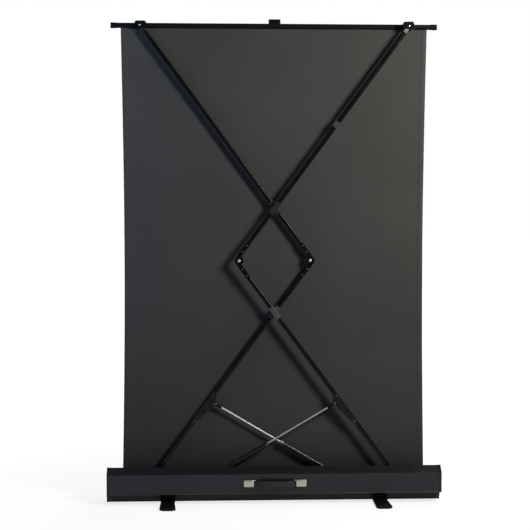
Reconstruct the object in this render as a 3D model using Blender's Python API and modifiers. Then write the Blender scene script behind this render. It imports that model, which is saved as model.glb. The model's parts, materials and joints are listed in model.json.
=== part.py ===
# Floor-rising projection screen: a case with a spring roller, two chains of folding arms and a top batten.
# Metres, +Z up. The origin is on the floor below the middle of the case, and the rear faces -Y.
from math import asin, atan, atan2, cos, hypot, pi, radians, sin, tau

import bmesh
import bpy
from mathutils import Matrix

# Clearances
GAP = 0.0003              # between faces that touch
ARM_FOLD_GAP = 0.002      # between the two arms of a chain when they lie folded
LAYER_CLEAR = 0.0014      # between the two arm layers
MOUTH_CLEAR = 0.0024      # from the rear lip of the mouth to the rear arm layer
LID_CLEAR = 0.004         # from the batten caps to the front lip of the mouth
ROLL_CLEAR = 0.0035       # round the full roll, to the front cover
ROLL_FLOOR_CLEAR = 0.020  # below the full roll
END_CLEAR = 0.025         # past the folded elbows, to the end caps
BATTEN_END_CLEAR = 0.010  # past the batten, to the end caps

# Folding arms
PIVOT_SPAN = 0.538        # from the middle to the pivots on the case and on the batten
ARM_LENGTH = 1.160        # pivot to pivot
RAISED_ANGLE = radians(54.0)
ARM_WIDTH = 0.018
ARM_DEPTH = 0.012
ARM_WALL = 0.0014
ARM_CORNER = 0.003
ARM_TAIL = 0.010          # past the base pivot
ELBOW_TRIM = 0.012        # from the elbow pivot to the ends of the tubes
PIN_R = 0.004

# Elbows
PLATE_T = 0.002
PLATE_MARGIN = 0.001      # plate edge inside the tube's edge
PLATE_TAIL = 0.080
PLATE_RIVETS = (0.036, 0.067)
RIVET_HEAD_T = 0.002
SMALL_RIVET_R = 0.0035
ELBOW_RIVET_R = 0.0038
ELBOW_HEAD_R = 0.0075

# Top ends of the upper arms
TONGUE_REACH = 0.031      # bare tongue between tube and pivot
TONGUE_GRIP = 0.040       # inside the tube
TONGUE_HEAD_R = 0.0095
TOP_HEAD_R = 0.006

# Guide sleeves and stop clip
SLEEVE_LENGTH = 0.056
SLEEVE_WALL = 0.0022
SLEEVE_CORNER = 0.003
SLEEVE_PIN_R = 0.005
STOP_LENGTH = 0.026
STOP_CLEAR = 0.007        # from the stop to the folded sleeve

# Gas struts
STRUT_ALONG = 0.463       # bracket pivot along the lower arm
STRUT_ASIDE = 0.028       # and to the side of its pivot line
STRUT_ANCHOR_X = 0.357
STRUT_ANCHOR_HEIGHT = 0.029
STRUT_TUBE_R = 0.009
STRUT_ROD_R = 0.004
ROD_SHOWN = 0.313
ROD_HELD = 0.030
BORE_SPARE = 0.300        # bore left for the rod to run in
FITTING_R = 0.005
FITTING_LENGTH = 0.030
EYE_R = 0.008
EYE_DEPTH = 0.010
EYE_PIN_R = 0.003
EYE_PIN_HEAD_R = 0.005
EYE_PIN_HEAD_T = 0.0015
BRACKET_BEFORE = 0.118    # bracket plate towards the base of the arm
BRACKET_BEYOND = 0.035
BRACKET_EDGE = 0.007
BRACKET_RIVET_INSET = 0.0135

# Case
TRAY_WALL = 0.002
TRAY_INSET = 0.015        # lower walls slope in by this much
RIM_HEIGHT = 0.033        # from the underside to the top of the rim
RIM_BAND = 0.004
RIM_PROUD = 0.001
COVER_WALL = 0.0018
FACE_HEIGHT = 0.0762
SHOULDER_DEPTH = 0.033
SHOULDER_RISE = 0.0251
FRONT_DROP = 0.016        # front lip of the mouth below the rear one
LIP = 0.010
CAP_T = 0.010
CAP_PROUD = 0.0008
CAP_EDGE = 0.0006
RAIL_STEP = 0.008         # lower part of the right end cap stands back
PIVOT_HEIGHT = 0.0265     # base pivots above the tray floor
BASE_BRACKET_LENGTH = 0.036
BASE_BRACKET_T = 0.0025
BASE_SIDE_CLEAR = 0.0006
BASE_HEAD = 0.010
ANCHOR_LENGTH = 0.026

# Feet
FOOT_X = 0.430
FOOT_REACH = 0.099        # past the faces of the case
FOOT_WAIST = 0.054
FOOT_TIP = 0.064
FOOT_CORNER = 0.008
LEG_T = 0.0088
LEG_EDGE = 0.0015
PAD_T = 0.002
PAD_LENGTH = 0.024
PAD_INSET = 0.003
MOUNT_T = 0.0023
MOUNT_WIDTH = 0.058
MOUNT_INSET = 0.003       # inside the flat underside of the tray
FOOT_STUD_R = 0.006

# Strap handle
HANDLE_HEIGHT = 0.0406    # above the rim
HANDLE_GRIP = 0.170       # between the end caps
HANDLE_CAP_WIDTH = 0.041
HANDLE_CAP_HEIGHT = 0.028
HANDLE_CAP_T = 0.009
HANDLE_CAP_CORNER = 0.004
HANDLE_CAP_EDGE = 0.0008
STRAP_T = 0.004
STRAP_WIDTH = 0.023
STRAP_TUCK = 0.016
STRAP_BOW = 0.022

# Roller and fabric
FABRIC_WIDTH = 1.230
FABRIC_WAIST = 0.011      # drawn in at mid height, on each side
FABRIC_T = 0.0005
ROLLER_R = 0.020
ROLLER_WALL = 0.0012
ROLLER_MARGIN = 0.006
WRAP_R = 0.023
FULL_ROLL_R = 0.026
PLUG_FLANGE = 0.004
PLUG_SPIGOT = 0.030
IDLE_JOURNAL_R = 0.005
SHAFT_R = 0.008
SHAFT_LENGTH = 0.300
SPRING_WIRE_R = 0.0011
SPRING_TURNS = 18
SPRING_LENGTH = 0.120
ROLLER_BRACKET_T = 0.004
ROLLER_BRACKET_WIDTH = 0.026

# Batten
BATTEN_R = 0.0105
BATTEN_WALL = 0.0015
BATTEN_OVERHANG = 0.040
BATTEN_CAP_R = 0.0114
BATTEN_CAP_LENGTH = 0.026
BATTEN_CAP_END = 0.003
SADDLE_WALL = 0.0032
SADDLE_WIDTH = 0.045
SADDLE_RISE = 0.0065
SADDLE_DROP = 0.011
SADDLE_EDGE = 0.0008
SADDLE_CROWN = 0.038      # flat top between the sloped ends
SADDLE_SHOULDER = 0.006   # where the slopes start, above the batten axis
CLIP_WIDTH = 0.047
CLIP_RISE = 0.0165
CLIP_T = 0.007
CLIP_WALL = 0.0025
CLIP_HOOK = 0.005
STOWED_DROP = 0.012       # batten axis below the top of the case when folded

# Depth, from the rear of the case to its front
elbow_offset = (ARM_WIDTH + ARM_FOLD_GAP) / 2
tail_width = ARM_WIDTH - 2 * PLATE_MARGIN
elbow_radius = elbow_offset + tail_width / 2
inner_plate_y = -(ARM_DEPTH / 2 + GAP)
outer_plate_y = inner_plate_y - PLATE_T - GAP
plate_stack = GAP + RIVET_HEAD_T + PLATE_T - outer_plate_y
sleeve_depth = ARM_DEPTH + 2 * (GAP + SLEEVE_WALL)
layer_pitch = max(ARM_DEPTH / 2 + plate_stack, sleeve_depth, 2 * STRUT_TUBE_R) + LAYER_CLEAR
batten_standoff = ARM_DEPTH / 2 + 2 * GAP + SADDLE_WALL + BATTEN_R
roller_standoff = FABRIC_T / 2 + GAP + WRAP_R
roll_depth = FULL_ROLL_R + ROLL_CLEAR + COVER_WALL
case_depth = (SHOULDER_DEPTH + MOUTH_CLEAR + plate_stack + layer_pitch
              + batten_standoff + roller_standoff + roll_depth)
rear_y = -case_depth / 2
mouth_rear = rear_y + SHOULDER_DEPTH
layer_b = mouth_rear + MOUTH_CLEAR + plate_stack
layer_a = layer_b + layer_pitch
fabric_y = layer_a + batten_standoff
roller_y = fabric_y + roller_standoff
mouth_front = fabric_y + BATTEN_CAP_R + LID_CLEAR

# Heights, from the floor up
leg_bottom = PAD_T + GAP
mount_bottom = leg_bottom + LEG_T + GAP
case_bottom = mount_bottom + MOUNT_T + GAP
tray_floor = case_bottom + TRAY_WALL
rim_top = case_bottom + RIM_HEIGHT
face_top = rim_top + GAP + FACE_HEIGHT
case_top = face_top + SHOULDER_RISE
front_top = case_top - FRONT_DROP
pivot_z = tray_floor + PIVOT_HEIGHT
batten_z = pivot_z + 2 * ARM_LENGTH * sin(RAISED_ANGLE)
folded_angle = asin((case_top - STOWED_DROP - pivot_z) / (2 * ARM_LENGTH))
roller_z = tray_floor + FULL_ROLL_R + ROLL_FLOOR_CLEAR
anchor_z = tray_floor + STRUT_ANCHOR_HEIGHT
handle_z = rim_top + HANDLE_HEIGHT

# Lengths, from the middle out
roller_half = FABRIC_WIDTH / 2 + ROLLER_MARGIN
batten_half = FABRIC_WIDTH / 2 + BATTEN_OVERHANG
bracket_x = roller_half + PLUG_FLANGE + GAP + ROLLER_BRACKET_T / 2
inner_half = max(ARM_LENGTH - PIVOT_SPAN + elbow_radius + END_CLEAR,
                 batten_half + BATTEN_END_CLEAR,
                 bracket_x + ROLLER_BRACKET_T)
case_half = inner_half + CAP_T
shell_length = 2 * (inner_half - GAP)

# The tubes run from the far pivot to a point beside the elbow, so they lie at a small angle to the pivot line
tube_slope = atan(elbow_offset / ARM_LENGTH)
tube_end = hypot(ARM_LENGTH, elbow_offset)
crossing = PIVOT_SPAN / cos(RAISED_ANGLE - tube_slope)
folded_crossing = PIVOT_SPAN / cos(folded_angle - tube_slope)
stop_from_top = folded_crossing - (SLEEVE_LENGTH + STOP_LENGTH) / 2 - STOP_CLEAR

SECTION = Matrix(((0, 0, 1, 0), (1, 0, 0, 0), (0, 1, 0, 0), (0, 0, 0, 1)))   # outline (y, z), length along X
UPRIGHT = Matrix(((1, 0, 0, 0), (0, 0, -1, 0), (0, 1, 0, 0), (0, 0, 0, 1)))  # outline (x, z), depth along Y

for old in list(bpy.data.objects):
    bpy.data.objects.remove(old)
parts = bpy.data.collections.new("Floor-rising projection screen")
bpy.context.scene.collection.children.link(parts)


def material(name, colour, roughness, metallic=0.0):
    made = bpy.data.materials.new(name)
    made.use_nodes = True
    shader = made.node_tree.nodes["Principled BSDF"]
    shader.inputs["Base Color"].default_value = (*colour, 1.0)
    shader.inputs["Roughness"].default_value = roughness
    shader.inputs["Metallic"].default_value = metallic
    made.diffuse_color = (*colour, 1.0)
    return made


case_black = material("case black", (0.022, 0.022, 0.024), 0.45, 0.3)
cap_black = material("end cap black", (0.018, 0.018, 0.019), 0.5)
arm_black = material("arm black", (0.010, 0.010, 0.011), 0.35, 0.4)
foot_black = material("foot black", (0.012, 0.012, 0.013), 0.55)
pad_rubber = material("pad rubber", (0.03, 0.03, 0.03), 0.8)
sleeve_grey = material("sleeve grey", (0.07, 0.07, 0.075), 0.6)
bare_steel = material("bare steel", (0.65, 0.65, 0.66), 0.3, 1.0)
handle_nickel = material("handle cap", (0.55, 0.52, 0.46), 0.4, 0.6)
strap_black = material("strap", (0.02, 0.02, 0.021), 0.6)
fabric_back = material("fabric back", (0.045, 0.046, 0.048), 0.8)
roller_metal = material("roller", (0.55, 0.56, 0.57), 0.45, 0.8)
bracket_steel = material("bracket", (0.30, 0.31, 0.32), 0.5, 0.8)


def frame(name, location, turn=0.0, parent=None):
    # An empty on a joint axis; its pieces are turned about Y with it.
    empty = bpy.data.objects.new(name, None)
    empty.location = location
    empty.rotation_euler = (0, turn, 0)
    empty.parent = parent
    parts.objects.link(empty)
    return empty


def piece(name, mesh, look, parent=None, location=(0, 0, 0), turn=0.0, bevel=0.0):
    mesh.name = name
    mesh.materials.clear()
    mesh.materials.append(look)
    mesh.shade_smooth()
    mesh.set_sharp_from_angle(angle=radians(35))
    made = bpy.data.objects.new(name, mesh)
    made.location = location
    made.rotation_euler = (0, turn, 0)
    made.parent = parent
    parts.objects.link(made)
    if bevel:
        rounding = made.modifiers.new("Bevel", "BEVEL")
        rounding.width = bevel
        rounding.segments = 2
        rounding.limit_method = "ANGLE"
    return made


def evaluated(scratch):
    # The mesh of a scratch object as its modifiers make it, closed and with its faces outwards.
    parts.objects.link(scratch)
    mesh = bpy.data.meshes.new_from_object(scratch.evaluated_get(bpy.context.evaluated_depsgraph_get()))
    bpy.data.objects.remove(scratch)
    body = bmesh.new()
    body.from_mesh(mesh)
    bmesh.ops.remove_doubles(body, verts=body.verts, dist=0.00001)
    bmesh.ops.recalc_face_normals(body, faces=body.faces)
    body.to_mesh(mesh)
    body.free()
    return mesh


def extrusion(outlines, length, way=Matrix(), middle=(0, 0, 0)):
    # A flat outline, with any holes, given a length; way turns it and middle is its centre.
    curve = bpy.data.curves.new("outline", "CURVE")
    curve.dimensions = "2D"
    curve.fill_mode = "BOTH"
    curve.extrude = length / 2
    for outline in outlines:
        spline = curve.splines.new("POLY")
        spline.points.add(len(outline) - 1)
        for point, (u, v) in zip(spline.points, outline):
            point.co = (u, v, 0, 1)
        spline.use_cyclic_u = True
    mesh = evaluated(bpy.data.objects.new("outline", curve))
    mesh.transform(Matrix.Translation(middle) @ way)
    return mesh


def turned(profile, way=Matrix(), middle=(0, 0, 0), steps=24):
    # A profile of (radius, height) points from top to bottom, turned about its own Z.
    mesh = bpy.data.meshes.new("profile")
    edges = [(i, i + 1) for i in range(len(profile) - 1)]
    mesh.from_pydata([(r, 0, h) for r, h in profile], edges, [])
    scratch = bpy.data.objects.new("profile", mesh)
    screw = scratch.modifiers.new("Screw", "SCREW")
    screw.steps = steps
    screw.render_steps = steps
    screw.use_merge_vertices = True
    screw.merge_threshold = 0.00001
    made = evaluated(scratch)
    made.transform(Matrix.Translation(middle) @ way)
    return made


def cylinder(radius, length, way=Matrix(), middle=(0, 0, 0), segments=24):
    body = bmesh.new()
    bmesh.ops.create_cone(body, cap_ends=True, segments=segments,
                          radius1=radius, radius2=radius, depth=length)
    mesh = bpy.data.meshes.new("cylinder")
    body.to_mesh(mesh)
    body.free()
    mesh.transform(Matrix.Translation(middle) @ way)
    return mesh


def box(size, middle=(0, 0, 0)):
    body = bmesh.new()
    bmesh.ops.create_cube(body, size=1.0, matrix=Matrix.Translation(middle) @ Matrix.Diagonal((*size, 1)))
    mesh = bpy.data.meshes.new("box")
    body.to_mesh(mesh)
    body.free()
    return mesh


def combined(base, others, operation="UNION"):
    # One mesh from several, by unions or by cuts.
    for other in others:
        tool = bpy.data.objects.new("tool", other)
        parts.objects.link(tool)
        scratch = bpy.data.objects.new("base", base)
        boolean = scratch.modifiers.new("Boolean", "BOOLEAN")
        boolean.operation = operation
        boolean.solver = "EXACT"
        boolean.object = tool
        base = evaluated(scratch)
        bpy.data.objects.remove(tool)
    return base


def arc(centre, radius, start, end, count):
    return [(centre[0] + radius * cos(start + (end - start) * i / count),
             centre[1] + radius * sin(start + (end - start) * i / count)) for i in range(count + 1)]


def circle(radius, centre=(0, 0), count=24):
    return arc(centre, radius, 0, tau, count)[:-1]


def rounded_rectangle(width, height, radius):
    points = []
    for i, (x, y) in enumerate(((1, 1), (-1, 1), (-1, -1), (1, -1))):
        centre = (x * (width / 2 - radius), y * (height / 2 - radius))
        points += arc(centre, radius, i * pi / 2, (i + 1) * pi / 2, 3)
    return points


def rectangle(width, height):
    return [(x * width / 2, y * height / 2) for x, y in ((1, 1), (-1, 1), (-1, -1), (1, -1))]


def shifted(path, distance):
    # An open path moved sideways, to its left, with mitred corners.
    moved = []
    for i, (x, y) in enumerate(path):
        before = path[max(i - 1, 0)]
        after = path[min(i + 1, len(path) - 1)]
        first = atan2(y - before[1], x - before[0]) if i else None
        second = atan2(after[1] - y, after[0] - x) if i < len(path) - 1 else first
        first = second if first is None else first
        reach = distance / cos((second - first) / 2)
        side = (first + second) / 2 + pi / 2
        moved.append((x + reach * cos(side), y + reach * sin(side)))
    return moved


def strip(path, near, far):
    # The closed outline of a wall along a path, between two distances to its left.
    return shifted(path, near) + shifted(path, far)[::-1]


def mirrored(points):
    return [(-u, v) for u, v in points]


def make_case():
    front_y = -rear_y
    tray_path = [(rear_y - RIM_PROUD, rim_top), (rear_y - RIM_PROUD, rim_top - RIM_BAND),
                 (rear_y + TRAY_INSET, case_bottom)]
    tray_path += mirrored(tray_path)[::-1]
    piece("base_tray", extrusion([strip(tray_path, 0, TRAY_WALL)], shell_length, SECTION), case_black)

    rear_path = [(mouth_rear, case_top - LIP), (mouth_rear, case_top), (rear_y, face_top),
                 (rear_y, rim_top + GAP)]
    piece("rear_cover", extrusion([strip(rear_path, 0, COVER_WALL)], shell_length, SECTION), case_black)
    front_path = [(front_y, rim_top + GAP), (front_y, face_top), (mouth_front, front_top),
                  (mouth_front, front_top - LIP)]
    piece("front_cover", extrusion([strip(front_path, 0, COVER_WALL)], shell_length, SECTION), case_black)

    side = [(rear_y + TRAY_INSET, case_bottom), (front_y - TRAY_INSET, case_bottom),
            (front_y, rim_top - RIM_BAND), (front_y, face_top), (mouth_front, front_top),
            (mouth_rear, case_top), (rear_y, face_top), (rear_y, rim_top - RIM_BAND)]
    loop = side[-1:] + side + side[:1]
    side = shifted(loop, -CAP_PROUD)[1:-1]
    end = case_half - CAP_T / 2
    piece("left_end_cap", extrusion([side], CAP_T, SECTION, (-end, 0, 0)), cap_black, bevel=CAP_EDGE)
    step = box((2 * RAIL_STEP, 2 * case_depth, 2 * (rim_top - RIM_BAND)), (case_half, 0, 0))
    cap = combined(extrusion([side], CAP_T, SECTION, (end, 0, 0)), [step], "DIFFERENCE")
    piece("right_end_cap", cap, cap_black, bevel=CAP_EDGE)

    for name, x, y in (("left_base_bracket", -PIVOT_SPAN, layer_a),
                       ("right_base_bracket", PIVOT_SPAN, layer_b)):
        inner = ARM_DEPTH / 2 + BASE_SIDE_CLEAR
        bracket = saddle_bracket(inner, BASE_BRACKET_LENGTH, PIVOT_HEIGHT + BASE_HEAD)
        pin_length = 2 * (inner + BASE_BRACKET_T + RIVET_HEAD_T)
        pin = cylinder(PIN_R, pin_length, UPRIGHT, (0, 0, PIVOT_HEIGHT - GAP))
        piece(name, combined(bracket, [pin]), bracket_steel, None, (x, y, tray_floor + GAP))
    for name, x, y in (("right_strut_anchor", STRUT_ANCHOR_X, layer_a),
                       ("left_strut_anchor", -STRUT_ANCHOR_X, layer_b)):
        anchor = saddle_bracket(STRUT_TUBE_R + GAP, ANCHOR_LENGTH, STRUT_ANCHOR_HEIGHT + BASE_HEAD)
        piece(name, anchor, bracket_steel, None, (x, y, tray_floor + GAP))


def saddle_bracket(inner, length, height):
    # A bent plate bracket: two cheeks on a base, open at the top.
    outer = inner + BASE_BRACKET_T
    half = [(outer, 0), (outer, height), (inner, height), (inner, BASE_BRACKET_T)]
    return extrusion([half + mirrored(half)[::-1]], length, SECTION)


def make_handle():
    grip = HANDLE_GRIP / 2
    seat = rear_y - 2 * GAP - STRAP_T / 2
    end = grip + STRAP_TUCK
    path = [(-end, seat)]
    path += [(grip * i / 8, seat - STRAP_BOW * cos(pi * i / 16) ** 2) for i in range(-8, 9)]
    path += [(end, seat)]
    strap = extrusion([strip(path, -STRAP_T / 2, STRAP_T / 2)], STRAP_WIDTH)
    piece("handle_strap", strap, strap_black, None, (0, 0, handle_z))
    for name, way in (("handle_left_cap", -1), ("handle_right_cap", 1)):
        middle = (way * (grip + HANDLE_CAP_WIDTH / 2), rear_y - GAP - HANDLE_CAP_T / 2, handle_z)
        outline = rounded_rectangle(HANDLE_CAP_WIDTH, HANDLE_CAP_HEIGHT, HANDLE_CAP_CORNER)
        cap = extrusion([outline], HANDLE_CAP_T, UPRIGHT, middle)
        pocket = box((2 * (STRAP_TUCK + GAP), 2 * (STRAP_T + 2 * GAP), STRAP_WIDTH + 2 * GAP),
                     (way * grip, rear_y - GAP, handle_z))
        piece(name, combined(cap, [pocket], "DIFFERENCE"), handle_nickel, bevel=HANDLE_CAP_EDGE)


def make_feet():
    half = case_depth / 2 + FOOT_REACH
    waist, tip = FOOT_WAIST / 2, FOOT_TIP / 2
    for name, x in (("left", -FOOT_X), ("right", FOOT_X)):
        plate = (MOUNT_WIDTH, case_depth - 2 * (TRAY_INSET + MOUNT_INSET), MOUNT_T)
        mount = box(plate, (0, 0, mount_bottom + MOUNT_T / 2))
        stud_length = mount_bottom + MOUNT_T / 2 - leg_bottom
        stud = cylinder(FOOT_STUD_R, stud_length, middle=(0, 0, leg_bottom + stud_length / 2))
        piece(name + "_foot_mount", combined(mount, [stud]), foot_black, None, (x, 0, 0))

        pivot = frame(name + "_foot_frame", (x, 0, 0))
        end = arc((tip - FOOT_CORNER, half - FOOT_CORNER), FOOT_CORNER, 0, pi / 2, 3)
        right_side = [(waist, 0), (waist, case_depth / 2)] + end
        front = right_side + mirrored(right_side)[::-1][:-1]
        outline = front + [(u, -v) for u, v in front[1:-1]][::-1]
        leg = extrusion([outline, circle(FOOT_STUD_R + GAP)], LEG_T, middle=(0, 0, leg_bottom + LEG_T / 2))
        piece(name + "_foot", leg, foot_black, pivot, bevel=LEG_EDGE)
        for place, way in (("rear", -1), ("front", 1)):
            size = (FOOT_TIP - 2 * (PAD_INSET + FOOT_CORNER), PAD_LENGTH, PAD_T)
            pad = box(size, (0, way * (half - PAD_INSET - PAD_LENGTH / 2), PAD_T / 2))
            piece(name + "_" + place + "_pad", pad, pad_rubber, pivot)


def make_roller():
    axis = frame("roller_frame", (0, roller_y, roller_z))
    bore = ROLLER_R - ROLLER_WALL
    tube = extrusion([circle(ROLLER_R), circle(bore)], 2 * roller_half, SECTION)
    piece("roller_tube", tube, roller_metal, axis)
    wrap = extrusion([circle(WRAP_R, count=32), circle(ROLLER_R + GAP, count=32)], FABRIC_WIDTH, SECTION)
    piece("fabric_wrap", wrap, fabric_back, axis)

    spigot = bore - GAP
    face = roller_half + GAP
    journal_end = bracket_x + ROLLER_BRACKET_T / 2
    flange = face + PLUG_FLANGE - GAP
    idle = [(0, journal_end), (IDLE_JOURNAL_R, journal_end), (IDLE_JOURNAL_R, flange), (ROLLER_R, flange),
            (ROLLER_R, face), (spigot, face), (spigot, face - PLUG_SPIGOT), (0, face - PLUG_SPIGOT)]
    to_left = Matrix.Rotation(-pi / 2, 4, "Y")
    piece("roller_idle_plug", turned(idle, to_left), cap_black, axis)
    hole = SHAFT_R + GAP
    rim = [(hole, flange), (ROLLER_R, flange), (ROLLER_R, face), (spigot, face),
           (spigot, face - PLUG_SPIGOT), (hole, face - PLUG_SPIGOT)]
    to_right = Matrix.Rotation(pi / 2, 4, "Y")
    piece("roller_spring_plug", turned(rim + rim[:1], to_right), cap_black, axis)

    shaft = cylinder(SHAFT_R, SHAFT_LENGTH, SECTION, (journal_end - SHAFT_LENGTH / 2, roller_y, roller_z))
    piece("spring_shaft", shaft, bare_steel)
    piece("roller_spring", spring_coil(face - PLUG_SPIGOT - SPRING_WIRE_R - GAP), bare_steel)

    for name, way, radius in (("left_roller_bracket", -1, IDLE_JOURNAL_R),
                              ("right_roller_bracket", 1, SHAFT_R)):
        foot = tray_floor + GAP - roller_z
        half = ROLLER_BRACKET_WIDTH / 2
        plate = [(-half, foot), (half, foot)] + arc((0, 0), half, 0, pi, 12)
        bracket = extrusion([plate, circle(radius + GAP)], ROLLER_BRACKET_T, SECTION, (way * bracket_x, 0, 0))
        piece(name, bracket, bracket_steel, None, (0, roller_y, roller_z))


def spring_coil(end):
    # A torsion spring round the fixed shaft, wound towards the middle of the roller from its end.
    radius = SHAFT_R + GAP + SPRING_WIRE_R
    per_turn = 8
    pitch = SPRING_LENGTH / SPRING_TURNS
    wind = [(end - pitch * i / per_turn, tau * i / per_turn) for i in range(SPRING_TURNS * per_turn + 1)]
    radius /= cos(pi / per_turn)
    curve = bpy.data.curves.new("coil", "CURVE")
    curve.dimensions = "3D"
    curve.bevel_depth = SPRING_WIRE_R
    curve.bevel_resolution = 1
    curve.use_fill_caps = True
    spline = curve.splines.new("POLY")
    spline.points.add(len(wind) - 1)
    for point, (x, angle) in zip(spline.points, wind):
        point.co = (x, roller_y + radius * cos(angle), roller_z + radius * sin(angle), 1)
    print("roller_spring least gap to itself, mm:", round(1000 * (pitch - 2 * SPRING_WIRE_R), 2))
    return evaluated(bpy.data.objects.new("coil", curve))


def make_fabric():
    # One taut sheet from the roller to the batten, drawn in towards its middle height.
    bottom = roller_z
    height = batten_z - BATTEN_R - GAP - bottom
    steps = 12
    edge = []
    for i in range(steps + 1):
        share = i / steps
        edge.append((FABRIC_WIDTH / 2 - FABRIC_WAIST * sin(pi * share), bottom + height * share))
    sheet = extrusion([edge + mirrored(edge)[::-1]], FABRIC_T, UPRIGHT)
    piece("screen_fabric", sheet, fabric_back, None, (0, fabric_y, 0))


def make_batten():
    pivot = frame("batten_frame", (-PIVOT_SPAN, layer_a, batten_z))
    middle = (PIVOT_SPAN, fabric_y - layer_a, 0)
    tube_half = batten_half - BATTEN_CAP_END - GAP
    tube = extrusion([circle(BATTEN_R), circle(BATTEN_R - BATTEN_WALL)], 2 * tube_half, SECTION)
    piece("batten_tube", tube, case_black, pivot, middle)
    hole = BATTEN_R + GAP
    for name, way in (("left_batten_cap", -1), ("right_batten_cap", 1)):
        cap = [(0, batten_half), (BATTEN_CAP_R, batten_half), (BATTEN_CAP_R, batten_half - BATTEN_CAP_LENGTH),
               (hole, batten_half - BATTEN_CAP_LENGTH), (hole, batten_half - BATTEN_CAP_END),
               (0, batten_half - BATTEN_CAP_END)]
        piece(name, turned(cap, Matrix.Rotation(way * pi / 2, 4, "Y")), cap_black, pivot, middle)

    for name, x, layer in (("left", -PIVOT_SPAN, layer_a), ("right", PIVOT_SPAN, layer_b)):
        back = layer + ARM_DEPTH / 2 + GAP - fabric_y
        top = BATTEN_R + SADDLE_RISE
        nose = hole + CLIP_WALL
        outline = [(back, -SADDLE_DROP), (-hole, -SADDLE_DROP), (-hole, 0)]
        outline += arc((0, 0), hole, pi, 0, 12)[1:]
        outline += [(nose, 0), (nose, top), (back, top)]
        seat = (x + PIVOT_SPAN, fabric_y - layer_a, 0)
        end = SADDLE_WIDTH / 2
        slope = [(end, -2 * SADDLE_DROP), (end, SADDLE_SHOULDER), (SADDLE_CROWN / 2, top)]
        hump = extrusion([slope + mirrored(slope)[::-1]], 2 * case_depth, UPRIGHT)
        block = combined(extrusion([outline], SADDLE_WIDTH, SECTION), [hump], "INTERSECT")
        piece(name + "_saddle", block, arm_black, pivot, seat, bevel=SADDLE_EDGE)
        face = ARM_DEPTH / 2 - ARM_WALL
        rivet = [(0, face + RIVET_HEAD_T), (TOP_HEAD_R, face + RIVET_HEAD_T), (TOP_HEAD_R, face),
                 (PIN_R, face), (PIN_R, -ARM_DEPTH / 2), (0, -ARM_DEPTH / 2)]
        head = (x + PIVOT_SPAN, layer - layer_a, 0)
        piece(name + "_top_rivet", turned(rivet, UPRIGHT), bare_steel, pivot, head)

    hook = hole + CLIP_WALL
    tab = BATTEN_R + CLIP_RISE
    outline = [(-hook, 0), (-hole, 0)] + arc((0, 0), hole, pi, 0, 12)[1:]
    top = BATTEN_R + CLIP_WALL
    tip = -CLIP_T / 2 - CLIP_HOOK
    outline += [(hook, 0), (hook, top), (CLIP_T / 2, top), (CLIP_T / 2, tab), (tip, tab),
                (tip, tab - CLIP_WALL), (-CLIP_T / 2, tab - CLIP_WALL), (-CLIP_T / 2, top), (-hook, top)]
    piece("pull_clip", extrusion([outline], CLIP_WIDTH, SECTION), cap_black, pivot, middle)


def on_tube(upper, out, distance):
    # Place and turn of a piece centred on an arm's tube, at a distance from the arm's far pivot.
    aside = out * distance * sin(tube_slope)
    along = distance * cos(tube_slope)
    if upper:
        return {"location": (ARM_LENGTH - along, 0, aside), "turn": out * tube_slope}
    return {"location": (along, 0, aside), "turn": -out * tube_slope}


def tube_mesh(start, end):
    outer = rounded_rectangle(ARM_DEPTH, ARM_WIDTH, ARM_CORNER)
    inner = rectangle(ARM_DEPTH - 2 * ARM_WALL, ARM_WIDTH - 2 * ARM_WALL)
    return extrusion([outer, inner], end - start, SECTION)


def elbow_plate(upper, out):
    # A round plate on the elbow pivot with a tail riveted to the tube; the upper arm's plate lies outside.
    half = tail_width / 2
    inner_edge = elbow_offset - half
    outline = arc((0, 0), elbow_radius, pi / 2, tau + asin(inner_edge / elbow_radius), 18)
    outline += [(PLATE_TAIL, inner_edge), (PLATE_TAIL, elbow_offset + half)]
    back = outer_plate_y if upper else inner_plate_y
    place = [(t, out * o) if upper else (ARM_LENGTH - t, out * o) for t, o in outline]
    pivot = (0, 0) if upper else (ARM_LENGTH, 0)
    hole = circle(ELBOW_RIVET_R + GAP, pivot)
    plate = extrusion([place, hole], PLATE_T, UPRIGHT, (0, back - PLATE_T / 2, 0))
    added = []
    if upper:
        start = elbow_radius + PLATE_T
        depth = inner_plate_y - back + PLATE_T / 2
        added.append(box((PLATE_TAIL - start, depth, tail_width),
                         ((PLATE_TAIL + start) / 2, inner_plate_y - depth / 2, out * elbow_offset)))
    for distance in PLATE_RIVETS:
        along = distance if upper else ARM_LENGTH - distance
        height = RIVET_HEAD_T + PLATE_T / 2
        middle = (along, back - PLATE_T / 2 - height / 2, out * elbow_offset)
        added.append(cylinder(SMALL_RIVET_R, height, UPRIGHT, middle, 16))
    return combined(plate, added)


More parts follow.
